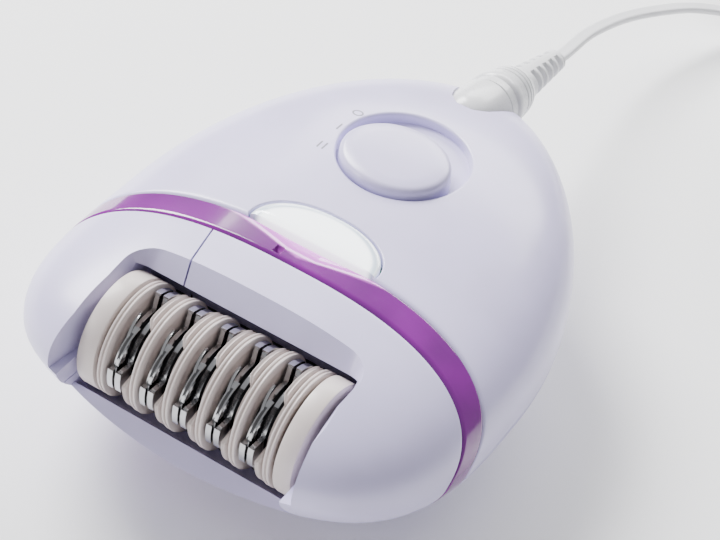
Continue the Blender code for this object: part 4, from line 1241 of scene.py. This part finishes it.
def roller():
    """A half-round dome: full outwards and almost flat towards the axis."""
    rows = []
    for step in range(9):
        angle = math.radians(180 * step / 8)
        row = []
        for turn_deg in range(0, 361, 20):
            turn = math.radians(turn_deg)
            radius = 7.0 + 1.15 * math.sin(angle) * max(math.cos(turn), -0.1)
            degrees = 226 + 9 * math.sin(turn) * math.sin(angle)
            row.append(drum_point(2.2 - 1.25 * math.cos(angle), radius, degrees))
        rows.append(row)
    return skin("roller_pattern", rows, 50)


dome = roller()
block = bar("stop_pattern", link_path(3.2, 3.2, 208, 222, 7.3, 0.0, 3), 0.32, 0.55)
for number, x in enumerate(disc_places[:-1], start=1):
    fit(moved_copy(links, f"folded_link_{number}", x), "drum", STEEL, "tweezer_steel")
    fit(moved_copy(painted_slot_shade, f"link_slot_shade_{number}", x), "drum", stop_and_slot_shade_finish, "black_plastic")
    fit(moved_copy(dome, f"roller_{number}", x), "drum", DARK_STEEL, "tweezer_steel")
    fit(moved_copy(block, f"stop_{number}", x), "drum", stop_and_slot_shade_finish, "black_plastic")
for pattern in (links, painted_slot_shade, dome, block):
    bpy.data.objects.remove(pattern, do_unlink=True)

# ------------------------------------------------------------------ what is inside
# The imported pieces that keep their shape: motor, gears, shafts, board, screws and the catch's
# button, each in the finish of its own stock.
brass = metal("turned_brass", (0.72, 0.53, 0.24), 0.32)
casing = metal("drawn_can", (0.56, 0.57, 0.59), 0.28, 0.5)
nylon = moulded("nylon", (0.80, 0.79, 0.74), 0.45, 0.5, 0.01)
black = moulded("black_abs", (0.028, 0.028, 0.032), 0.45, 0.4, 0.01)
emitter = moulded("emitter_epoxy", (0.90, 0.94, 1.0), 0.15, 0.5, 0.001)
board = Finish("solder_mask", (0.03, 0.20, 0.09), 0.35, 0.0, Coat_Weight=0.5)
tracks = board.noise(2.2, 0.0, (1.0, 0.25, 1.0)).smooth(0.52, 0.54)
traces = tracks * board.noise(3.5, 0.0).smooth(0.45, 0.47)
board.tint(traces, (0.07, 0.34, 0.16))
board.grain(traces, 0.03)
repaint(brass, "bush_left", "bush_right", "motor_pinion")
repaint(casing, "motor_can", "gear_bracket")
repaint(nylon, "drum_gear", "drive_gear", "reduction_gear")
repaint(black, "deck_plate", "drum_core", "switch_stem")
repaint(STEEL, "drum_shaft", "motor_shaft", "gear_axle", "actuator_rod", "shell_screw_1", "shell_screw_2")
repaint(board.material, "circuit_board")
repaint(emitter, "light_emitter")
repaint(violet.material, "release_button")

# ------------------------------------------------------------------ floor and light
floor_finish = Finish("pale_floor", (0.98, 0.98, 0.98), 0.8)
floor_finish.tint(floor_finish.noise(400.0, 2.0), (0.96, 0.96, 0.965))
bpy.ops.object.select_all(action="DESELECT")
bpy.ops.mesh.primitive_plane_add(size=30.0, location=(0, 0, -0.0006))
floor = bpy.context.active_object
floor.name = "floor"
floor.data.materials.append(floor_finish.material)

world = bpy.data.worlds.new("studio")
bpy.context.scene.world = world
world.use_nodes = True
world.node_tree.nodes["Background"].inputs["Color"].default_value = (0.95, 0.96, 1.0, 1.0)
world.node_tree.nodes["Background"].inputs["Strength"].default_value = 0.5


def softbox(name, place, power, size):
    light_data = bpy.data.lights.new(name, "AREA")
    light_data.energy = power
    light_data.shape = "RECTANGLE"
    light_data.size, light_data.size_y = size
    light = bpy.data.objects.new(name, light_data)
    bpy.context.scene.collection.objects.link(light)
    light.location = place
    light.rotation_euler = (Vector((0, 0, 0.015)) - Vector(place)).to_track_quat("-Z", "Y").to_euler()


softbox("overhead_left", (-0.62, 0.26, 0.66), 23.0, (0.5, 0.4))
softbox("behind", (-0.15, 0.80, 0.50), 9.0, (0.8, 0.3))
softbox("front_strip", (-0.55, -0.55, 0.25), 3.0, (0.2, 0.5))
